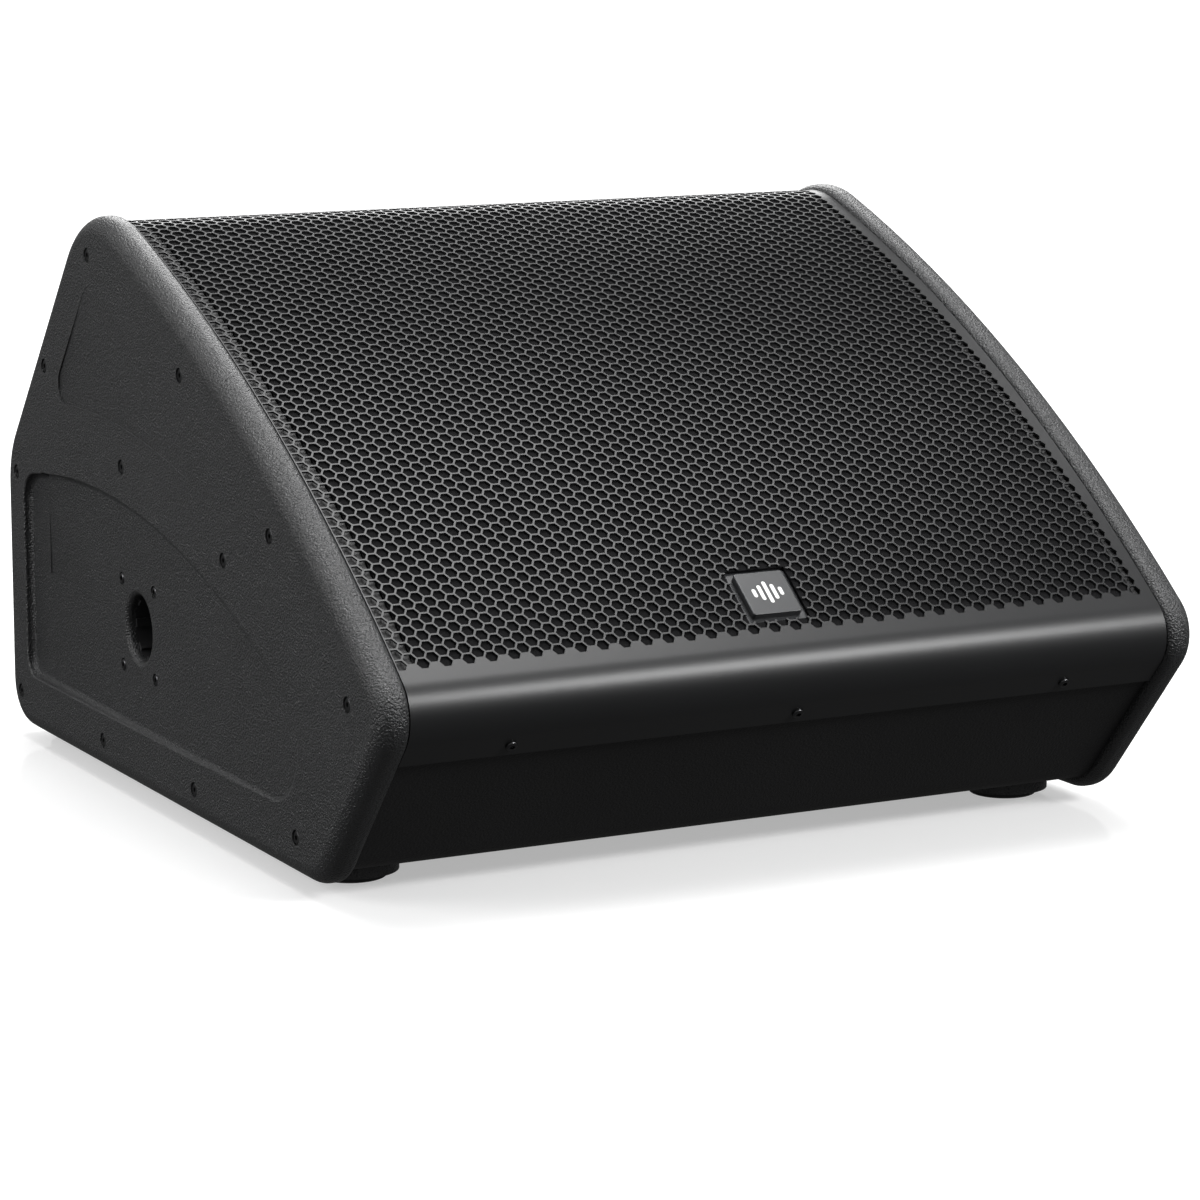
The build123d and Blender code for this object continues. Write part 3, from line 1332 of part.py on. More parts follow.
# The lead hangs in long easy bends from the amplifier board to the driver's terminal
lead_end = terminal_seat.origin + (terminal_depth + fit_gap) * terminal_seat.z_dir
lead_route = [
    Vector(20, plate_seat.origin.Y - board_gap - board_thickness, 118), Vector(20, 160, 118),
    Vector(16, 122, 134), Vector(8, 88, 162), lead_end + lead_straight * terminal_seat.z_dir, lead_end,
]
with BuildPart() as driver_lead:
    with BuildLine() as lead_line:
        FilletPolyline(*lead_route, radius=lead_bend)
    with BuildSketch(Plane(lead_line.line @ 0, z_dir=lead_line.line % 0)):
        Circle(lead_thickness / 2)
    sweep()
driver_lead.part.label = "driver_lead"
export_step(driver_lead.part, "parts/driver_lead.step")
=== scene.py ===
import json
from math import atan2, cos, dist, pi, radians, sin, sqrt

import bpy
import numpy as np
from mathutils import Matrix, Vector


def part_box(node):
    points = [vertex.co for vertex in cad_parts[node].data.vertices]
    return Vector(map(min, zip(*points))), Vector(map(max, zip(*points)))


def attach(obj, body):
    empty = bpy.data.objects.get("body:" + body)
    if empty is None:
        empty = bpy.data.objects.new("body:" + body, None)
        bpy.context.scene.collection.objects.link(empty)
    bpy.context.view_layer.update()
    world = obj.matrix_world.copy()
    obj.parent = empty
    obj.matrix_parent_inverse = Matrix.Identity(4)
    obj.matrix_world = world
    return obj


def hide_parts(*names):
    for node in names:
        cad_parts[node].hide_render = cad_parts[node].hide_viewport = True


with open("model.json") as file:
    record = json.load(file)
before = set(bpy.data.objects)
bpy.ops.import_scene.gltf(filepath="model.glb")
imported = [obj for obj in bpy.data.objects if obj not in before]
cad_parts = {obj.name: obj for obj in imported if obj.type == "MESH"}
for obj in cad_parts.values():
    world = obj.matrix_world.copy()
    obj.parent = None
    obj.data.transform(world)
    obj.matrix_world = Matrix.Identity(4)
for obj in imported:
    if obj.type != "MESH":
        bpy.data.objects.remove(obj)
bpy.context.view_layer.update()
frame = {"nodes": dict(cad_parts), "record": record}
nodes = frame["nodes"]
mm = 0.001

# ---------------------------------------------------------------- sizes, in metres
# The side view has y running from the nose to the rear and z up from the floor.
toe, nose, crest, shoulder = (-0.206, 0.008), (-0.300, 0.119), (0.1395, 0.360), (0.2875, 0.1855)
nose_radius, crest_radius, front_bulge = 0.028, 0.073, 0.026

sheet_inset = 0.0035  # outer face of the grille below the cheeks' outline
sheet_thickness = 0.0011
sheet_edge_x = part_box("grille")[1].x
seam_along = 0.1016  # from the toe to the lower edge of the grille
sheet_end_along = 0.072  # from the crest down the rear slope to the upper edge

hex_pitch = 0.00773  # between neighbours in one column
hex_cell = hex_pitch / sqrt(3)  # corner radius of a cell
hex_hole = 0.00384  # corner radius of an opening
column_step = 1.5 * hex_cell
first_column_x, columns = -0.2382, 72
first_row_along = 0.0662  # from the lower edge of the grille
last_row_short = 0.021  # plain margin at the upper edge
row_margin = 0.5 * mm  # plain sheet kept beyond the first and last rows
side_margin = 0.6 * mm  # plain sheet kept beside an opening at a side edge
smallest_piece = 0.05 * mm  # slivers narrower than this are dropped
lower_strip, upper_strip = 1.2 * mm, 2.5 * mm  # facets of the plain bends
curve_samples = 6000
spare_cells = 2  # laid beyond each end of the pattern and cut off at the sheet's edge
weld_scale = 1e6  # corners that agree to a micrometre are one vertex

badge_slope = radians(37.5)
badge_centre = Vector((-0.004, -0.2476, 0.1579))
badge_normal = Vector((0, -sin(badge_slope), cos(badge_slope)))
badge_up = Vector((0, cos(badge_slope), sin(badge_slope)))
window_half = 0.0195

foam_gap = 0.0003
foam_thickness = 0.0045
foam_step = 4 * mm
foam_low_margin, foam_high_margin = 9 * mm, 6 * mm

# The badge carries five level bars with round ends
bar_heights = (6, 11, 16, 11, 6)  # mm
bar_half_width, bar_spacing, bar_end_steps = 1.15 * mm, 4.2 * mm, 12
mark_sink, mark_lift = 0.1 * mm, 0.15 * mm

print_lift = 0.12 * mm
dial_start, dial_step = -150, 30  # degrees
dial_ticks, long_tick_every = 11, 5
dial_inner, dial_long, dial_short, tick_width = 11 * mm, 14.5 * mm, 13 * mm, 0.7 * mm
group_margin, group_line, group_corner, corner_steps = 6 * mm, 0.6 * mm, 4 * mm, 6
pointer_inner, pointer_outer, pointer_width = 2.5 * mm, 6.5 * mm, 1 * mm

cad_smooth_angle = radians(32)
grille_smooth_angle = 30  # degrees


# ---------------------------------------------------------------- mesh helpers
def new_piece(name, verts, faces, material, body="cabinet", smooth_angle=35):
    """Mesh object in the row frame that rides on a CAD body."""
    mesh = bpy.data.meshes.new(name)
    mesh.from_pydata(verts, [], faces)
    mesh.validate()
    mesh.shade_smooth()
    mesh.set_sharp_from_angle(angle=radians(smooth_angle))
    piece = bpy.data.objects.new(name, mesh)
    bpy.context.scene.collection.objects.link(piece)
    mesh.materials.append(material)
    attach(piece, body)
    return piece


# ---------------------------------------------------------------- side curve of the grille
def unit(a, b):
    """Unit vector from a to b in the side view."""
    length = dist(a, b)
    return np.array([(b[0] - a[0]) / length, (b[1] - a[1]) / length])


def left_of(u):
    """A side-view direction turned a quarter turn to its left."""
    return np.array([-u[1], u[0]])


lower_up, rear_down, chord = unit(toe, nose), unit(crest, shoulder), unit(nose, crest)
lower_out, rear_out, chord_out = left_of(lower_up), left_of(rear_down), left_of(chord)
chord_length = dist(nose, crest)
bulge_radius = (chord_length ** 2 / 4 + front_bulge ** 2) / (2 * front_bulge)
bulge_centre = (np.array(nose) + np.array(crest)) / 2 - (bulge_radius - front_bulge) * chord_out


def fillet_centre(corner, along, out, radius, near):
    """Centre of a fillet between the bulge and the straight edge through a corner."""
    start = np.array(corner) - radius * out - bulge_centre
    b = start @ along
    c = start @ start - (bulge_radius - radius) ** 2
    root = sqrt(b * b - c)
    spots = [start + t * along + bulge_centre for t in (-b - root, -b + root)]
    return min(spots, key=lambda p: dist(p, near))


nose_centre = fillet_centre(nose, lower_up, lower_out, nose_radius, nose)
crest_centre = fillet_centre(crest, rear_down, rear_out, crest_radius, crest)


def heading(v):
    """Angle of a side-view direction."""
    return atan2(v[1], v[0])


def arc_run(centre, radius, start, end):
    """A curve's arc as (length, function of the distance along it)."""
    sweep = end - start

    def place(t):
        angle = start + t / abs(sweep * radius) * sweep
        out = np.stack([np.cos(angle), np.sin(angle)], -1)
        return centre + radius * out, out

    return abs(sweep * radius), place


def line_run(start, end, out):
    """A straight stretch as (length, function of the distance along it)."""
    length = dist(start, end)

    def place(t):
        return start + t[:, None] * unit(start, end), np.broadcast_to(out, (len(t), 2))

    return length, place


angle_lower = heading(lower_out) + 2 * pi
angle_nose = heading(nose_centre - bulge_centre) % (2 * pi)
angle_crest = heading(crest_centre - bulge_centre)
angle_rear = heading(rear_out)
lower_start = np.array(toe) + seam_along * lower_up - sheet_inset * lower_out
rear_end = np.array(crest) + sheet_end_along * rear_down - sheet_inset * rear_out
runs = [
    line_run(lower_start, nose_centre + (nose_radius - sheet_inset) * lower_out, lower_out),
    arc_run(nose_centre, nose_radius - sheet_inset, angle_lower, angle_nose),
    arc_run(bulge_centre, bulge_radius - sheet_inset, angle_nose, angle_crest),
    arc_run(crest_centre, crest_radius - sheet_inset, angle_crest, angle_rear),
    line_run(crest_centre + (crest_radius - sheet_inset) * rear_out, rear_end, rear_out),
]
run_starts = np.cumsum([0] + [length for length, _ in runs])
sheet_length = run_starts[-1]


def on_sheet(x, along, depth=0.0):
    """Points in the row frame on the grille's outer face, moved inward by depth."""
    x, along = np.asarray(x, float), np.asarray(along, float)
    point, out = np.zeros((len(x), 2)), np.zeros((len(x), 2))
    which = np.clip(np.searchsorted(run_starts, along, side="right") - 1, 0, len(runs) - 1)
    for i, (_, place) in enumerate(runs):
        chosen = which == i
        if chosen.any():
            point[chosen], out[chosen] = place(along[chosen] - run_starts[i])
    point = point - out * np.reshape(depth, (-1, 1))
    return np.column_stack([x, point])


def clip(polygon, axis, limit, side):
    """Part of a convex polygon where side * (coordinate - limit) >= 0."""
    kept = []
    for i, here in enumerate(polygon):
        there = polygon[(i + 1) % len(polygon)]
        a, b = side * (here[axis] - limit), side * (there[axis] - limit)
        if a >= 0:
            kept.append(here)
        if a * b < 0:
            t = a / (a - b)
            kept.append((here[0] + t * (there[0] - here[0]), here[1] + t * (there[1] - here[1])))
    return kept


def outside_window(polygon, centre):
    """The pieces of a convex polygon that lie outside the square badge window."""
    low_x, high_x = centre[0] - window_half, centre[0] + window_half
    low_s, high_s = centre[1] - window_half, centre[1] + window_half
    across, up = zip(*polygon)
    if max(across) <= low_x or min(across) >= high_x or max(up) <= low_s or min(up) >= high_s:
        return [polygon]
    middle = clip(clip(polygon, 0, low_x, 1), 0, high_x, -1)
    parts = [
        clip(polygon, 0, low_x, -1), clip(polygon, 0, high_x, 1),
        clip(middle, 1, high_s, 1), clip(middle, 1, low_s, -1),
    ]
    return [part for part in parts if len(part) > 2]


def along_nearest(y, z):
    """Distance along the sheet at its point nearest to a side-view point."""
    s = np.linspace(0, sheet_length, curve_samples)
    points = on_sheet(np.zeros_like(s), s)
    return s[np.argmin((points[:, 1] - y) ** 2 + (points[:, 2] - z) ** 2)]


window_centre = (badge_centre.x, along_nearest(badge_centre.y, badge_centre.z))


def hexagon(x, s, radius):
    """Corners of a hexagon in the flat pattern."""
    return [(x + radius * cos(k * pi / 3), s + radius * sin(k * pi / 3)) for k in range(6)]


def too_small(polygon):
    """Whether a polygon is a sliver in either direction."""
    return any(max(line) - min(line) < smallest_piece for line in zip(*polygon))


def perforated_sheet():
    """Flat pattern of the grille as convex polygons in (x, along)."""
    low = first_row_along - hex_pitch / 2 - row_margin
    high = sheet_length - last_row_short
    rows = int((high - first_row_along) / hex_pitch)
    high = first_row_along + rows * hex_pitch + hex_pitch / 2
    edge = sheet_edge_x
    polygons = []
    for column in range(-spare_cells, columns + spare_cells):
        x = first_column_x + column * column_step
        for row in range(-spare_cells, rows + spare_cells):
            s = first_row_along + (row + 0.5 * (column % 2)) * hex_pitch
            bounds = [
                (min(max(px, -edge), edge), min(max(ps, low), high))
                for px, ps in hexagon(x, s, hex_cell)
            ]
            if too_small(bounds):
                continue
            holed = 0 <= column < columns - 1 and row >= 0 and s + hex_pitch / 2 < high - row_margin
            if holed:
                rim = [
                    (min(max(px, -edge + side_margin), edge - side_margin), ps)
                    for px, ps in hexagon(x, s, hex_hole)
                ]
                web = [[bounds[k], bounds[(k + 1) % 6], rim[(k + 1) % 6], rim[k]] for k in range(6)]
            else:
                web = [bounds]
            for polygon in web:
                polygons += outside_window(polygon, window_centre)
    strips = list(np.arange(0, low, lower_strip)) + [low]
    tail = list(np.arange(high, sheet_length, upper_strip)) + [sheet_length]
    for levels in (strips, tail):
        for a, b in zip(levels, levels[1:]):
            polygons.append([(-edge, a), (edge, a), (edge, b), (-edge, b)])
    return polygons


def thick_sheet(polygons, front_depth, back_depth):
    """Vertices and faces of a sheet with a front, a back and a wall on every open edge."""
    index, flat, fronts = {}, [], []
    for polygon in polygons:
        face = []
        for x, s in polygon:
            key = (round(x * weld_scale), round(s * weld_scale))
            if key not in index:
                index[key] = len(flat)
                flat.append((x, s))
            if not face or face[-1] != index[key]:
                face.append(index[key])
        if face[0] == face[-1]:
            face.pop()
        if len(set(face)) == len(face) and len(face) > 2:
            fronts.append(face)
    edges = dict.fromkeys((a, b) for face in fronts for a, b in zip(face, face[1:] + face[:1]))
    count = len(flat)
    faces = list(fronts)
    faces += [[v + count for v in reversed(face)] for face in fronts]
    faces += [[b, a, a + count, b + count] for a, b in edges if (b, a) not in edges]
    x, s = np.array(flat).T
    verts = np.concatenate([on_sheet(x, s, front_depth), on_sheet(x, s, back_depth)])
    return verts.tolist(), faces


# ---------------------------------------------------------------- materials
drift_scale, drift_detail, drift_low, drift_high = 14.0, 6.0, 0.3, 0.7  # slow change of colour
crumple_scale, crumple_detail, cell_share = 0.9, 4.0, 0.6  # leather: creases over cells
grit_detail, grit_roughness = 5.0, 0.6
turned_stretch = (1, 0.1, 1)
roughness_swing = 0.12
coat_roughness = 0.12


def wire(tree, kind, **sockets):
    """Adds a node and sets its inputs: a socket is linked, a number becomes the value."""
    node = tree.nodes.new(kind)
    for name, value in sockets.items():
        socket = node.inputs[name.replace("_", " ")]
        if isinstance(value, bpy.types.NodeSocket):
            tree.links.new(value, socket)
        else:
            socket.default_value = value
    return node


def remap(tree, value, low, high, from_low=0.0, from_high=1.0):
    """A value's range stretched to low and high."""
    node = tree.nodes.new("ShaderNodeMapRange")
    tree.links.new(value, node.inputs["Value"])
    node.inputs["From Min"].default_value = from_low
    node.inputs["From Max"].default_value = from_high
    node.inputs["To Min"].default_value = low
    node.inputs["To Max"].default_value = high
    return node.outputs["Result"]


def mixed(tree, factor, dark, light):
    """Blend of two colours."""
    node = tree.nodes.new("ShaderNodeMix")
    node.data_type = "RGBA"
    tree.links.new(factor, node.inputs["Factor"])
    node.inputs["A"].default_value = (*dark, 1)
    node.inputs["B"].default_value = (*light, 1)
    return node.outputs["Result"]


def stretched(tree, coords, scale):
    """Coordinates scaled along each axis."""
    node = tree.nodes.new("ShaderNodeMapping")
    tree.links.new(coords, node.inputs["Vector"])
    node.inputs["Scale"].default_value = scale
    return node.outputs["Vector"]


def grain_height(tree, coords, grain, size):
    """Height of a surface's fine relief, 0 to 1, for grains of about that size."""
    scale = 1 / size
    if grain == "leather":
        cells = wire(tree, "ShaderNodeTexVoronoi", Vector=coords, Scale=scale)
        cells.feature = "SMOOTH_F1"
        crumple = wire(
            tree, "ShaderNodeTexNoise", Vector=coords, Scale=scale * crumple_scale, Detail=crumple_detail,
        )
        both = tree.nodes.new("ShaderNodeMath")
        both.operation = "MULTIPLY_ADD"
        tree.links.new(cells.outputs["Distance"], both.inputs[0])
        both.inputs[1].default_value = cell_share
        tree.links.new(crumple.outputs["Fac"], both.inputs[2])
        return both.outputs["Value"]
    if grain == "foam":
        cells = wire(tree, "ShaderNodeTexVoronoi", Vector=coords, Scale=scale)
        return cells.outputs["Distance"]
    if grain == "turned":
        coords = stretched(tree, coords, turned_stretch)
    grit = wire(
        tree, "ShaderNodeTexNoise", Vector=coords, Scale=scale, Detail=grit_detail, Roughness=grit_roughness,
    )
    return grit.outputs["Fac"]


def finish(name, colour, roughness, grain, size, depth, spread,
           metallic=0.0, coat=0.0, sheen=0.0, specular=0.5, glow=0.0):
    """Procedural material: colour drifts by spread, and the relief has a grain size and depth in metres."""
    material = bpy.data.materials.new(name)
    material.use_nodes = True
    tree = material.node_tree
    shader = tree.nodes["Principled BSDF"]
    coords = tree.nodes.new("ShaderNodeTexCoord").outputs["Object"]
    drift = wire(tree, "ShaderNodeTexNoise", Vector=coords, Scale=drift_scale, Detail=drift_detail)
    height = grain_height(tree, coords, grain, size)
    dark = [c * (1 - spread) for c in colour]
    light = [min(1, c * (1 + spread)) for c in colour]
    base = mixed(tree, remap(tree, drift.outputs["Fac"], 0, 1, drift_low, drift_high), dark, light)
    tree.links.new(base, shader.inputs["Base Color"])
    smoother, rougher = roughness * (1 - roughness_swing), min(1, roughness * (1 + roughness_swing))
    varied = remap(tree, height, smoother, rougher)
    tree.links.new(varied, shader.inputs["Roughness"])
    bump = wire(tree, "ShaderNodeBump", Height=height, Distance=depth, Strength=1.0)
    tree.links.new(bump.outputs["Normal"], shader.inputs["Normal"])
    shader.inputs["Metallic"].default_value = metallic
    shader.inputs["Coat Weight"].default_value = coat
    shader.inputs["Coat Roughness"].default_value = coat_roughness
    shader.inputs["Sheen Weight"].default_value = sheen
    shader.inputs["Specular IOR Level"].default_value = specular
    if glow:
        shader.inputs["Emission Color"].default_value = (*colour, 1)
        shader.inputs["Emission Strength"].default_value = glow
    return material


finishes = {
    "cheek_plastic": finish(
        "cheek_plastic", (0.024, 0.0245, 0.0255), 0.27, "leather", 0.0011, 0.0010, 0.08, specular=0.6,
    ),
    "cabinet_paint": finish(
        "cabinet_paint", (0.009, 0.009, 0.0095), 0.55, "leather", 0.0012, 0.0004, 0.15,
    ),
    "grille_steel": finish(
        "grille_steel", (0.013, 0.0133, 0.0140), 0.36, "paint", 0.0003, 0.00002, 0.06, specular=0.46,
    ),
    "foam": finish("foam", (0.007, 0.007, 0.0075), 0.95, "foam", 0.0009, 0.0002, 0.12, specular=0.08),
    "rubber": finish("rubber", (0.012, 0.012, 0.0125), 0.7, "paint", 0.0006, 0.00008, 0.15),
    "black_screw": finish(
        "black_screw", (0.085, 0.085, 0.088), 0.30, "turned", 0.0004, 0.00002, 0.1, metallic=1.0,
    ),
    "badge": finish("badge", (0.022, 0.023, 0.025), 0.38, "paint", 0.0004, 0.00002, 0.05, coat=0.15),
    "moulded_plastic": finish(
        "moulded_plastic", (0.016, 0.016, 0.017), 0.48, "leather", 0.0006, 0.00008, 0.1,
    ),
    "cast_alloy": finish(
        "cast_alloy", (0.55, 0.56, 0.57), 0.45, "paint", 0.0008, 0.0001, 0.08, metallic=1.0,
    ),
    "plated_steel": finish(
        "plated_steel", (0.56, 0.57, 0.60), 0.28, "turned", 0.0005, 0.00002, 0.08, metallic=1.0,
    ),
    "ferrite": finish("ferrite", (0.05, 0.05, 0.053), 0.6, "paint", 0.001, 0.0001, 0.12),
    "paper_cone": finish(
        "paper_cone", (0.02, 0.02, 0.021), 0.75, "turned", 0.0012, 0.0001, 0.1, sheen=0.1,
    ),
    "copper_coil": finish(
        "copper_coil", (0.62, 0.28, 0.12), 0.3, "turned", 0.0004, 0.00008, 0.15, metallic=1.0,
    ),
    "surround_cloth": finish(
        "surround_cloth", (0.02, 0.02, 0.021), 0.8, "foam", 0.0008, 0.0001, 0.1, sheen=0.2,
    ),
    "spider_cloth": finish(
        "spider_cloth", (0.50, 0.33, 0.09), 0.85, "foam", 0.0008, 0.0001, 0.1, sheen=0.2,
    ),
    "panel_metal": finish("panel_metal", (0.018, 0.018, 0.020), 0.45, "paint", 0.0005, 0.00006, 0.1),
    "knob_plastic": finish("knob_plastic", (0.028, 0.028, 0.030), 0.4, "paint", 0.0005, 0.00003, 0.08),
    "circuit_board": finish(
        "circuit_board", (0.01, 0.10, 0.03), 0.35, "paint", 0.0008, 0.00003, 0.15, coat=0.3,
    ),
    "capacitor_sleeve": finish(
        "capacitor_sleeve", (0.01, 0.015, 0.05), 0.3, "paint", 0.001, 0.00003, 0.1, coat=0.2,
    ),
    "lamp": finish(
        "lamp", (0.10, 0.62, 0.16), 0.25, "paint", 0.0006, 0.00001, 0.1, coat=0.4, glow=0.25,
    ),
    "wadding": finish("wadding", (0.62, 0.61, 0.58), 0.95, "foam", 0.002, 0.001, 0.1, sheen=0.4),
    "lead_sheath": finish("lead_sheath", (0.018, 0.018, 0.018), 0.5, "paint", 0.0006, 0.00005, 0.1),
}
mark_white = finish("mark_white", (0.80, 0.80, 0.79), 0.5, "paint", 0.0004, 0.00002, 0.03)

for entry in frame["record"]["subparts"]:
    mesh = nodes[entry["node"]].data
    mesh.materials.clear()
    mesh.materials.append(finishes[entry["material_slot"]])
    mesh.shade_smooth()
    mesh.set_sharp_from_angle(angle=cad_smooth_angle)

# ---------------------------------------------------------------- grille, foam and badge
grille_piece = new_piece(
    "perforated_grille", *thick_sheet(perforated_sheet(), 0.0, sheet_thickness),
    finishes["grille_steel"], smooth_angle=grille_smooth_angle,
)
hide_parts("grille")

foam_low, foam_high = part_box("grille_foam")


def foam_polygons():
    """Grid of squares behind the perforated part, left open behind the badge."""
    low = first_row_along - foam_low_margin
    high = sheet_length - last_row_short - foam_high_margin
    across = np.linspace(foam_low.x, foam_high.x, round((foam_high.x - foam_low.x) / foam_step) + 1)
    along = np.linspace(low, high, round((high - low) / foam_step) + 1)
    polygons = []
    for a, b in zip(across, across[1:]):
        for c, d in zip(along, along[1:]):
            polygons += outside_window([(a, c), (b, c), (b, d), (a, d)], window_centre)
    return polygons


foam_front = sheet_thickness + foam_gap
foam_piece = new_piece(
    "acoustic_foam", *thick_sheet(foam_polygons(), foam_front, foam_front + foam_thickness), finishes["foam"],
)
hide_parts("grille_foam")


def badge_bar(x, height, base):
    """Outline of a bar with round ends on the badge, in its own plane."""
    half = bar_half_width
    points = []
    for turn, end in ((0, base + height - half), (pi, base + half)):
        for k in range(bar_end_steps + 1):
            a = turn + pi * k / bar_end_steps
            points.append((x + half * cos(a), end + half * sin(a)))
    return points


def badge_mark():
    """Five level bars standing a little proud of the badge."""
    verts, faces = [], []
    for k, height in enumerate(bar_heights):
        outline = badge_bar((k - len(bar_heights) // 2) * bar_spacing, height * mm, -height / 2 * mm)
        start = len(verts)
        for level in (-mark_sink, mark_lift):
            for u, v in outline:
                verts.append(badge_centre + Vector((u, 0, 0)) + badge_up * v + badge_normal * level)
        count = len(outline)
        faces.append([start + count + i for i in range(count)])
        for i in range(count):
            j = (i + 1) % count
            faces.append([start + i, start + j, start + count + j, start + count + i])
    return verts, faces


mark_piece = new_piece("badge_mark", *badge_mark(), mark_white)

# ---------------------------------------------------------------- printed marks on the connector panel
plate_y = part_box("amp_plate")[1].y
knob_low, knob_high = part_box("level_knob")
knob_centre = (knob_low + knob_high) / 2


def raised_print(loops):
    """Vertices and faces of flat quads standing just proud of a face that looks to the rear."""
    verts, faces = [], []
    for loop, y in loops:
        start = len(verts)
        for level in (y - print_lift, y + print_lift):
            verts += [(x, level, z) for x, z in loop]
        n = len(loop)
        faces.append([start + n + i for i in range(n)])
        faces += [[start + i, start + n + i, start + n + (i + 1) % n, start + (i + 1) % n] for i in range(n)]
    return verts, faces


def bar(centre, angle, inner, outer, width):
    """Quad lying along a ray from a centre, between two radii."""
    ray, across = (sin(angle), cos(angle)), (cos(angle), -sin(angle))
    return [
        (centre[0] + r * ray[0] + w * across[0], centre[1] + r * ray[1] + w * across[1])
        for r, w in ((inner, -width / 2), (outer, -width / 2), (outer, width / 2), (inner, width / 2))
    ]


def frame_quads(low, high, width, corner=group_corner, steps=corner_steps):
    """Rounded rectangular line as short quads."""
    def rim(inset):
        centres = [
            (high[0] - corner, high[1] - corner), (low[0] + corner, high[1] - corner),
            (low[0] + corner, low[1] + corner), (high[0] - corner, low[1] + corner),
        ]
        radius = corner - inset
        return [
            (c[0] + radius * cos((k + i / steps) * pi / 2), c[1] + radius * sin((k + i / steps) * pi / 2))
            for k, c in enumerate(centres) for i in range(steps + 1)
        ]
    outer, inner = rim(0), rim(width)
    return [[outer[i - 1], outer[i], inner[i], inner[i - 1]] for i in range(len(outer))]


def around(names, margin):
    """Low and high corners, in x and z, of a box around CAD nodes."""
    boxes = [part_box(name) for name in names]
    low = (min(b[0].x for b in boxes) - margin, min(b[0].z for b in boxes) - margin)
    high = (max(b[1].x for b in boxes) + margin, max(b[1].z for b in boxes) + margin)
    return low, high


knob_spot = (knob_centre.x, knob_centre.z)
dial = [
    bar(
        knob_spot, radians(dial_start + dial_step * k), dial_inner,
        dial_long if k % long_tick_every == 0 else dial_short, tick_width,
    )
    for k in range(dial_ticks)
]
lines = [(quad, plate_y) for quad in dial]
for group in (("input_socket", "output_socket"), ("mains_inlet", "power_switch")):
    lines += [(quad, plate_y) for quad in frame_quads(*around(group, group_margin), group_line)]
print_piece = new_piece("panel_print", *raised_print(lines), mark_white)
pointer = [(bar(knob_spot, 0, pointer_inner, pointer_outer, pointer_width), knob_high.y)]
pointer_piece = new_piece("knob_pointer", *raised_print(pointer), mark_white, body="level_knob")

# ---------------------------------------------------------------- floor, light and camera
floor_grey, floor_roughness, floor_ior = 0.86, 0.08, 1.45
# The floor's glow is dimmest near the monitor, a painted shade around it, and full further out
painted_shade_glow, glow_far, glow_start, glow_end = 0.42, 1.0, 0.5, 1.9
world_low, world_high = 0.09, 0.34  # brightness below and above the horizon
horizon_low, horizon_high = -0.02, 0.12  # heights of the direction where it changes over
camera_place = (-1.10068, -2.13357, 0.56202)
camera_tilt, camera_turn, camera_lens = 10.617, 27.726, 119.62  # degrees, degrees, mm
middle = (0, 0, 0.18)
# Each light's place, size and power
lights = {
    "overhead": ((0.15, 0.2, 2.2), (1.9, 1.6), 60),
    "front_right": ((1.1, -1.9, 1.45), (0.9, 0.7), 44),
    "left_fill": ((-2.6, 0.4, 1.2), (1.6, 1.2), 36),
    "rear_fill": ((1.2, 2.6, 1.5), (1.6, 1.2), 30),
}

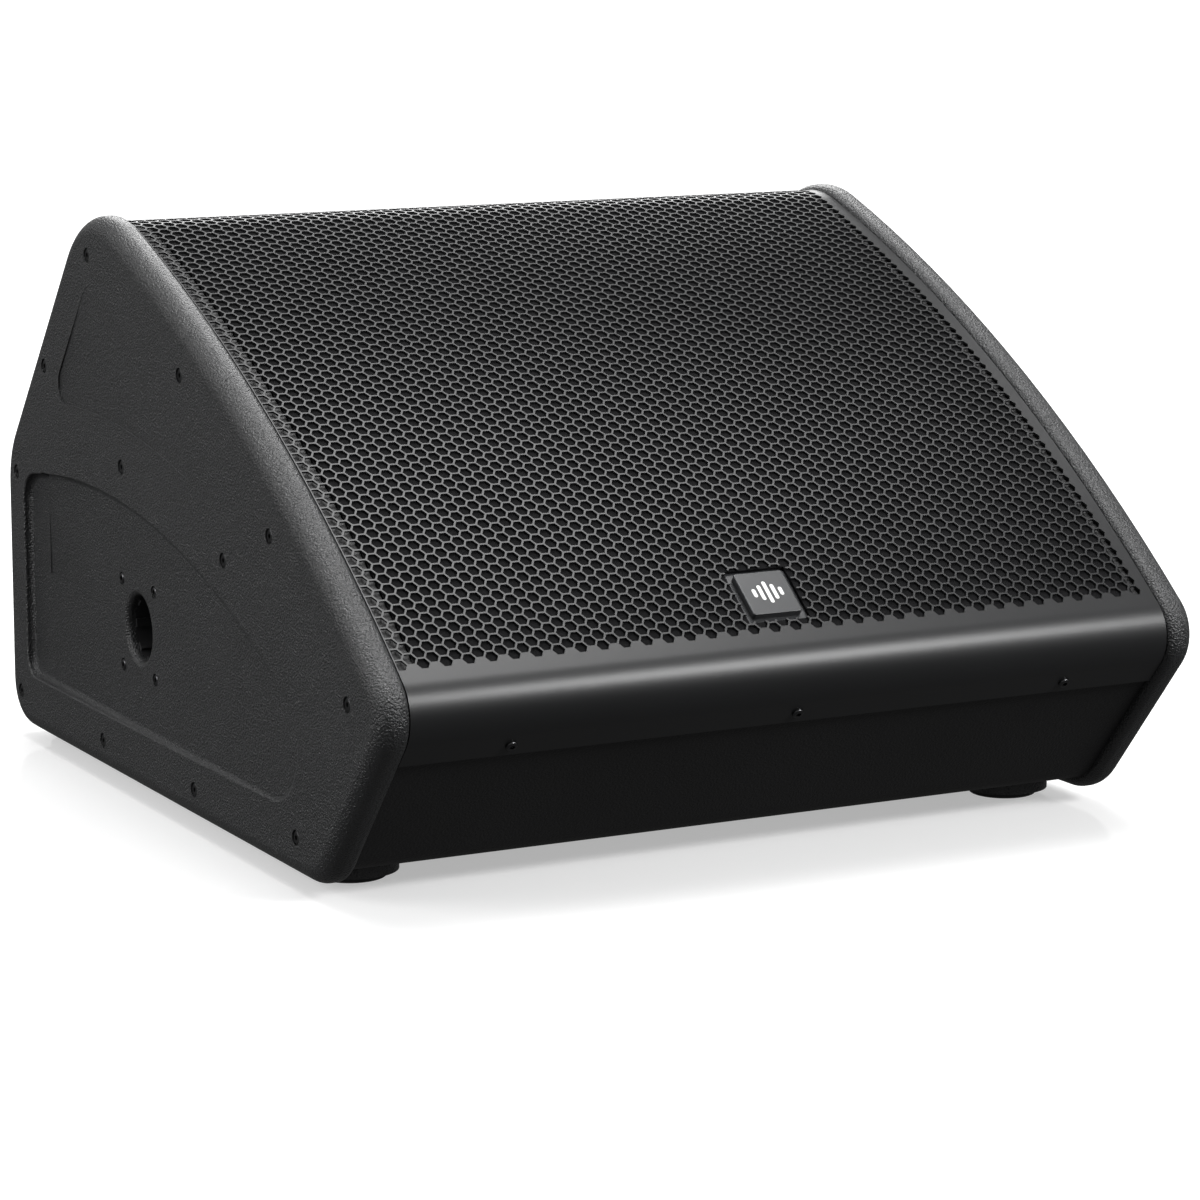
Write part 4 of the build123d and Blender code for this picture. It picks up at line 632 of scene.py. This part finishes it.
floor_mesh = bpy.data.meshes.new("floor")
reach = 30.0
floor_corners = [(-reach, -reach, 0), (reach, -reach, 0), (reach, reach, 0), (-reach, reach, 0)]
floor_mesh.from_pydata(floor_corners, [], [(0, 1, 2, 3)])
floor = bpy.data.objects.new("floor", floor_mesh)
bpy.context.scene.collection.objects.link(floor)
floor_finish = bpy.data.materials.new("floor_finish")
floor_finish.use_nodes = True
floor_shader = floor_finish.node_tree.nodes["Principled BSDF"]
floor_shader.inputs["Base Color"].default_value = (floor_grey, floor_grey, floor_grey, 1)
floor_shader.inputs["Roughness"].default_value = floor_roughness
floor_shader.inputs["IOR"].default_value = floor_ior
floor_shader.inputs["Emission Color"].default_value = (1, 1, 1, 1)
# The floor glows a little less near the monitor, a painted shade on the floor around it, so its shadow and
# reflection show there
floor_tree = floor_finish.node_tree
floor_spot = floor_tree.nodes.new("ShaderNodeTexCoord").outputs["Object"]
from_middle = wire(floor_tree, "ShaderNodeVectorMath", Vector=floor_spot)
from_middle.operation = "LENGTH"
floor_glow_with_painted_shade = remap(
    floor_tree, from_middle.outputs["Value"], painted_shade_glow, glow_far, glow_start, glow_end,
)
floor_tree.links.new(floor_glow_with_painted_shade, floor_shader.inputs["Emission Strength"])
floor_mesh.materials.append(floor_finish)
floor.visible_diffuse = False
floor.visible_glossy = False

world = bpy.data.worlds.new("studio")
bpy.context.scene.world = world
world.use_nodes = True
sky = world.node_tree
direction = sky.nodes.new("ShaderNodeTexCoord").outputs["Generated"]
height = sky.nodes.new("ShaderNodeSeparateXYZ")
sky.links.new(direction, height.inputs["Vector"])
strength = remap(sky, height.outputs["Z"], world_low, world_high, horizon_low, horizon_high)
sky.links.new(strength, sky.nodes["Background"].inputs["Strength"])
sky.nodes["Background"].inputs["Color"].default_value = (1, 1, 1, 1)


def soft_light(name, place, target, size, power):
    """Rectangular area light aimed at a target."""
    light = bpy.data.lights.new(name, "AREA")
    light.shape = "RECTANGLE"
    light.size, light.size_y = size
    light.energy = power
    lamp = bpy.data.objects.new(name, light)
    bpy.context.scene.collection.objects.link(lamp)
    lamp.location = place
    lamp.rotation_euler = (Vector(target) - Vector(place)).to_track_quat("-Z", "Y").to_euler()


for name, (place, size, power) in lights.items():
    soft_light(name, place, middle, size, power)

camera_data = bpy.data.cameras.new("camera")
camera_data.lens = camera_lens
camera_data.sensor_width = 36
camera_data.clip_start, camera_data.clip_end = 0.1, 100
camera = bpy.data.objects.new("camera", camera_data)
camera.location = camera_place
camera.rotation_euler = (radians(90 - camera_tilt), 0, radians(-camera_turn))
bpy.context.scene.collection.objects.link(camera)
bpy.context.scene.camera = camera
bpy.context.scene.view_settings.view_transform = "Standard"
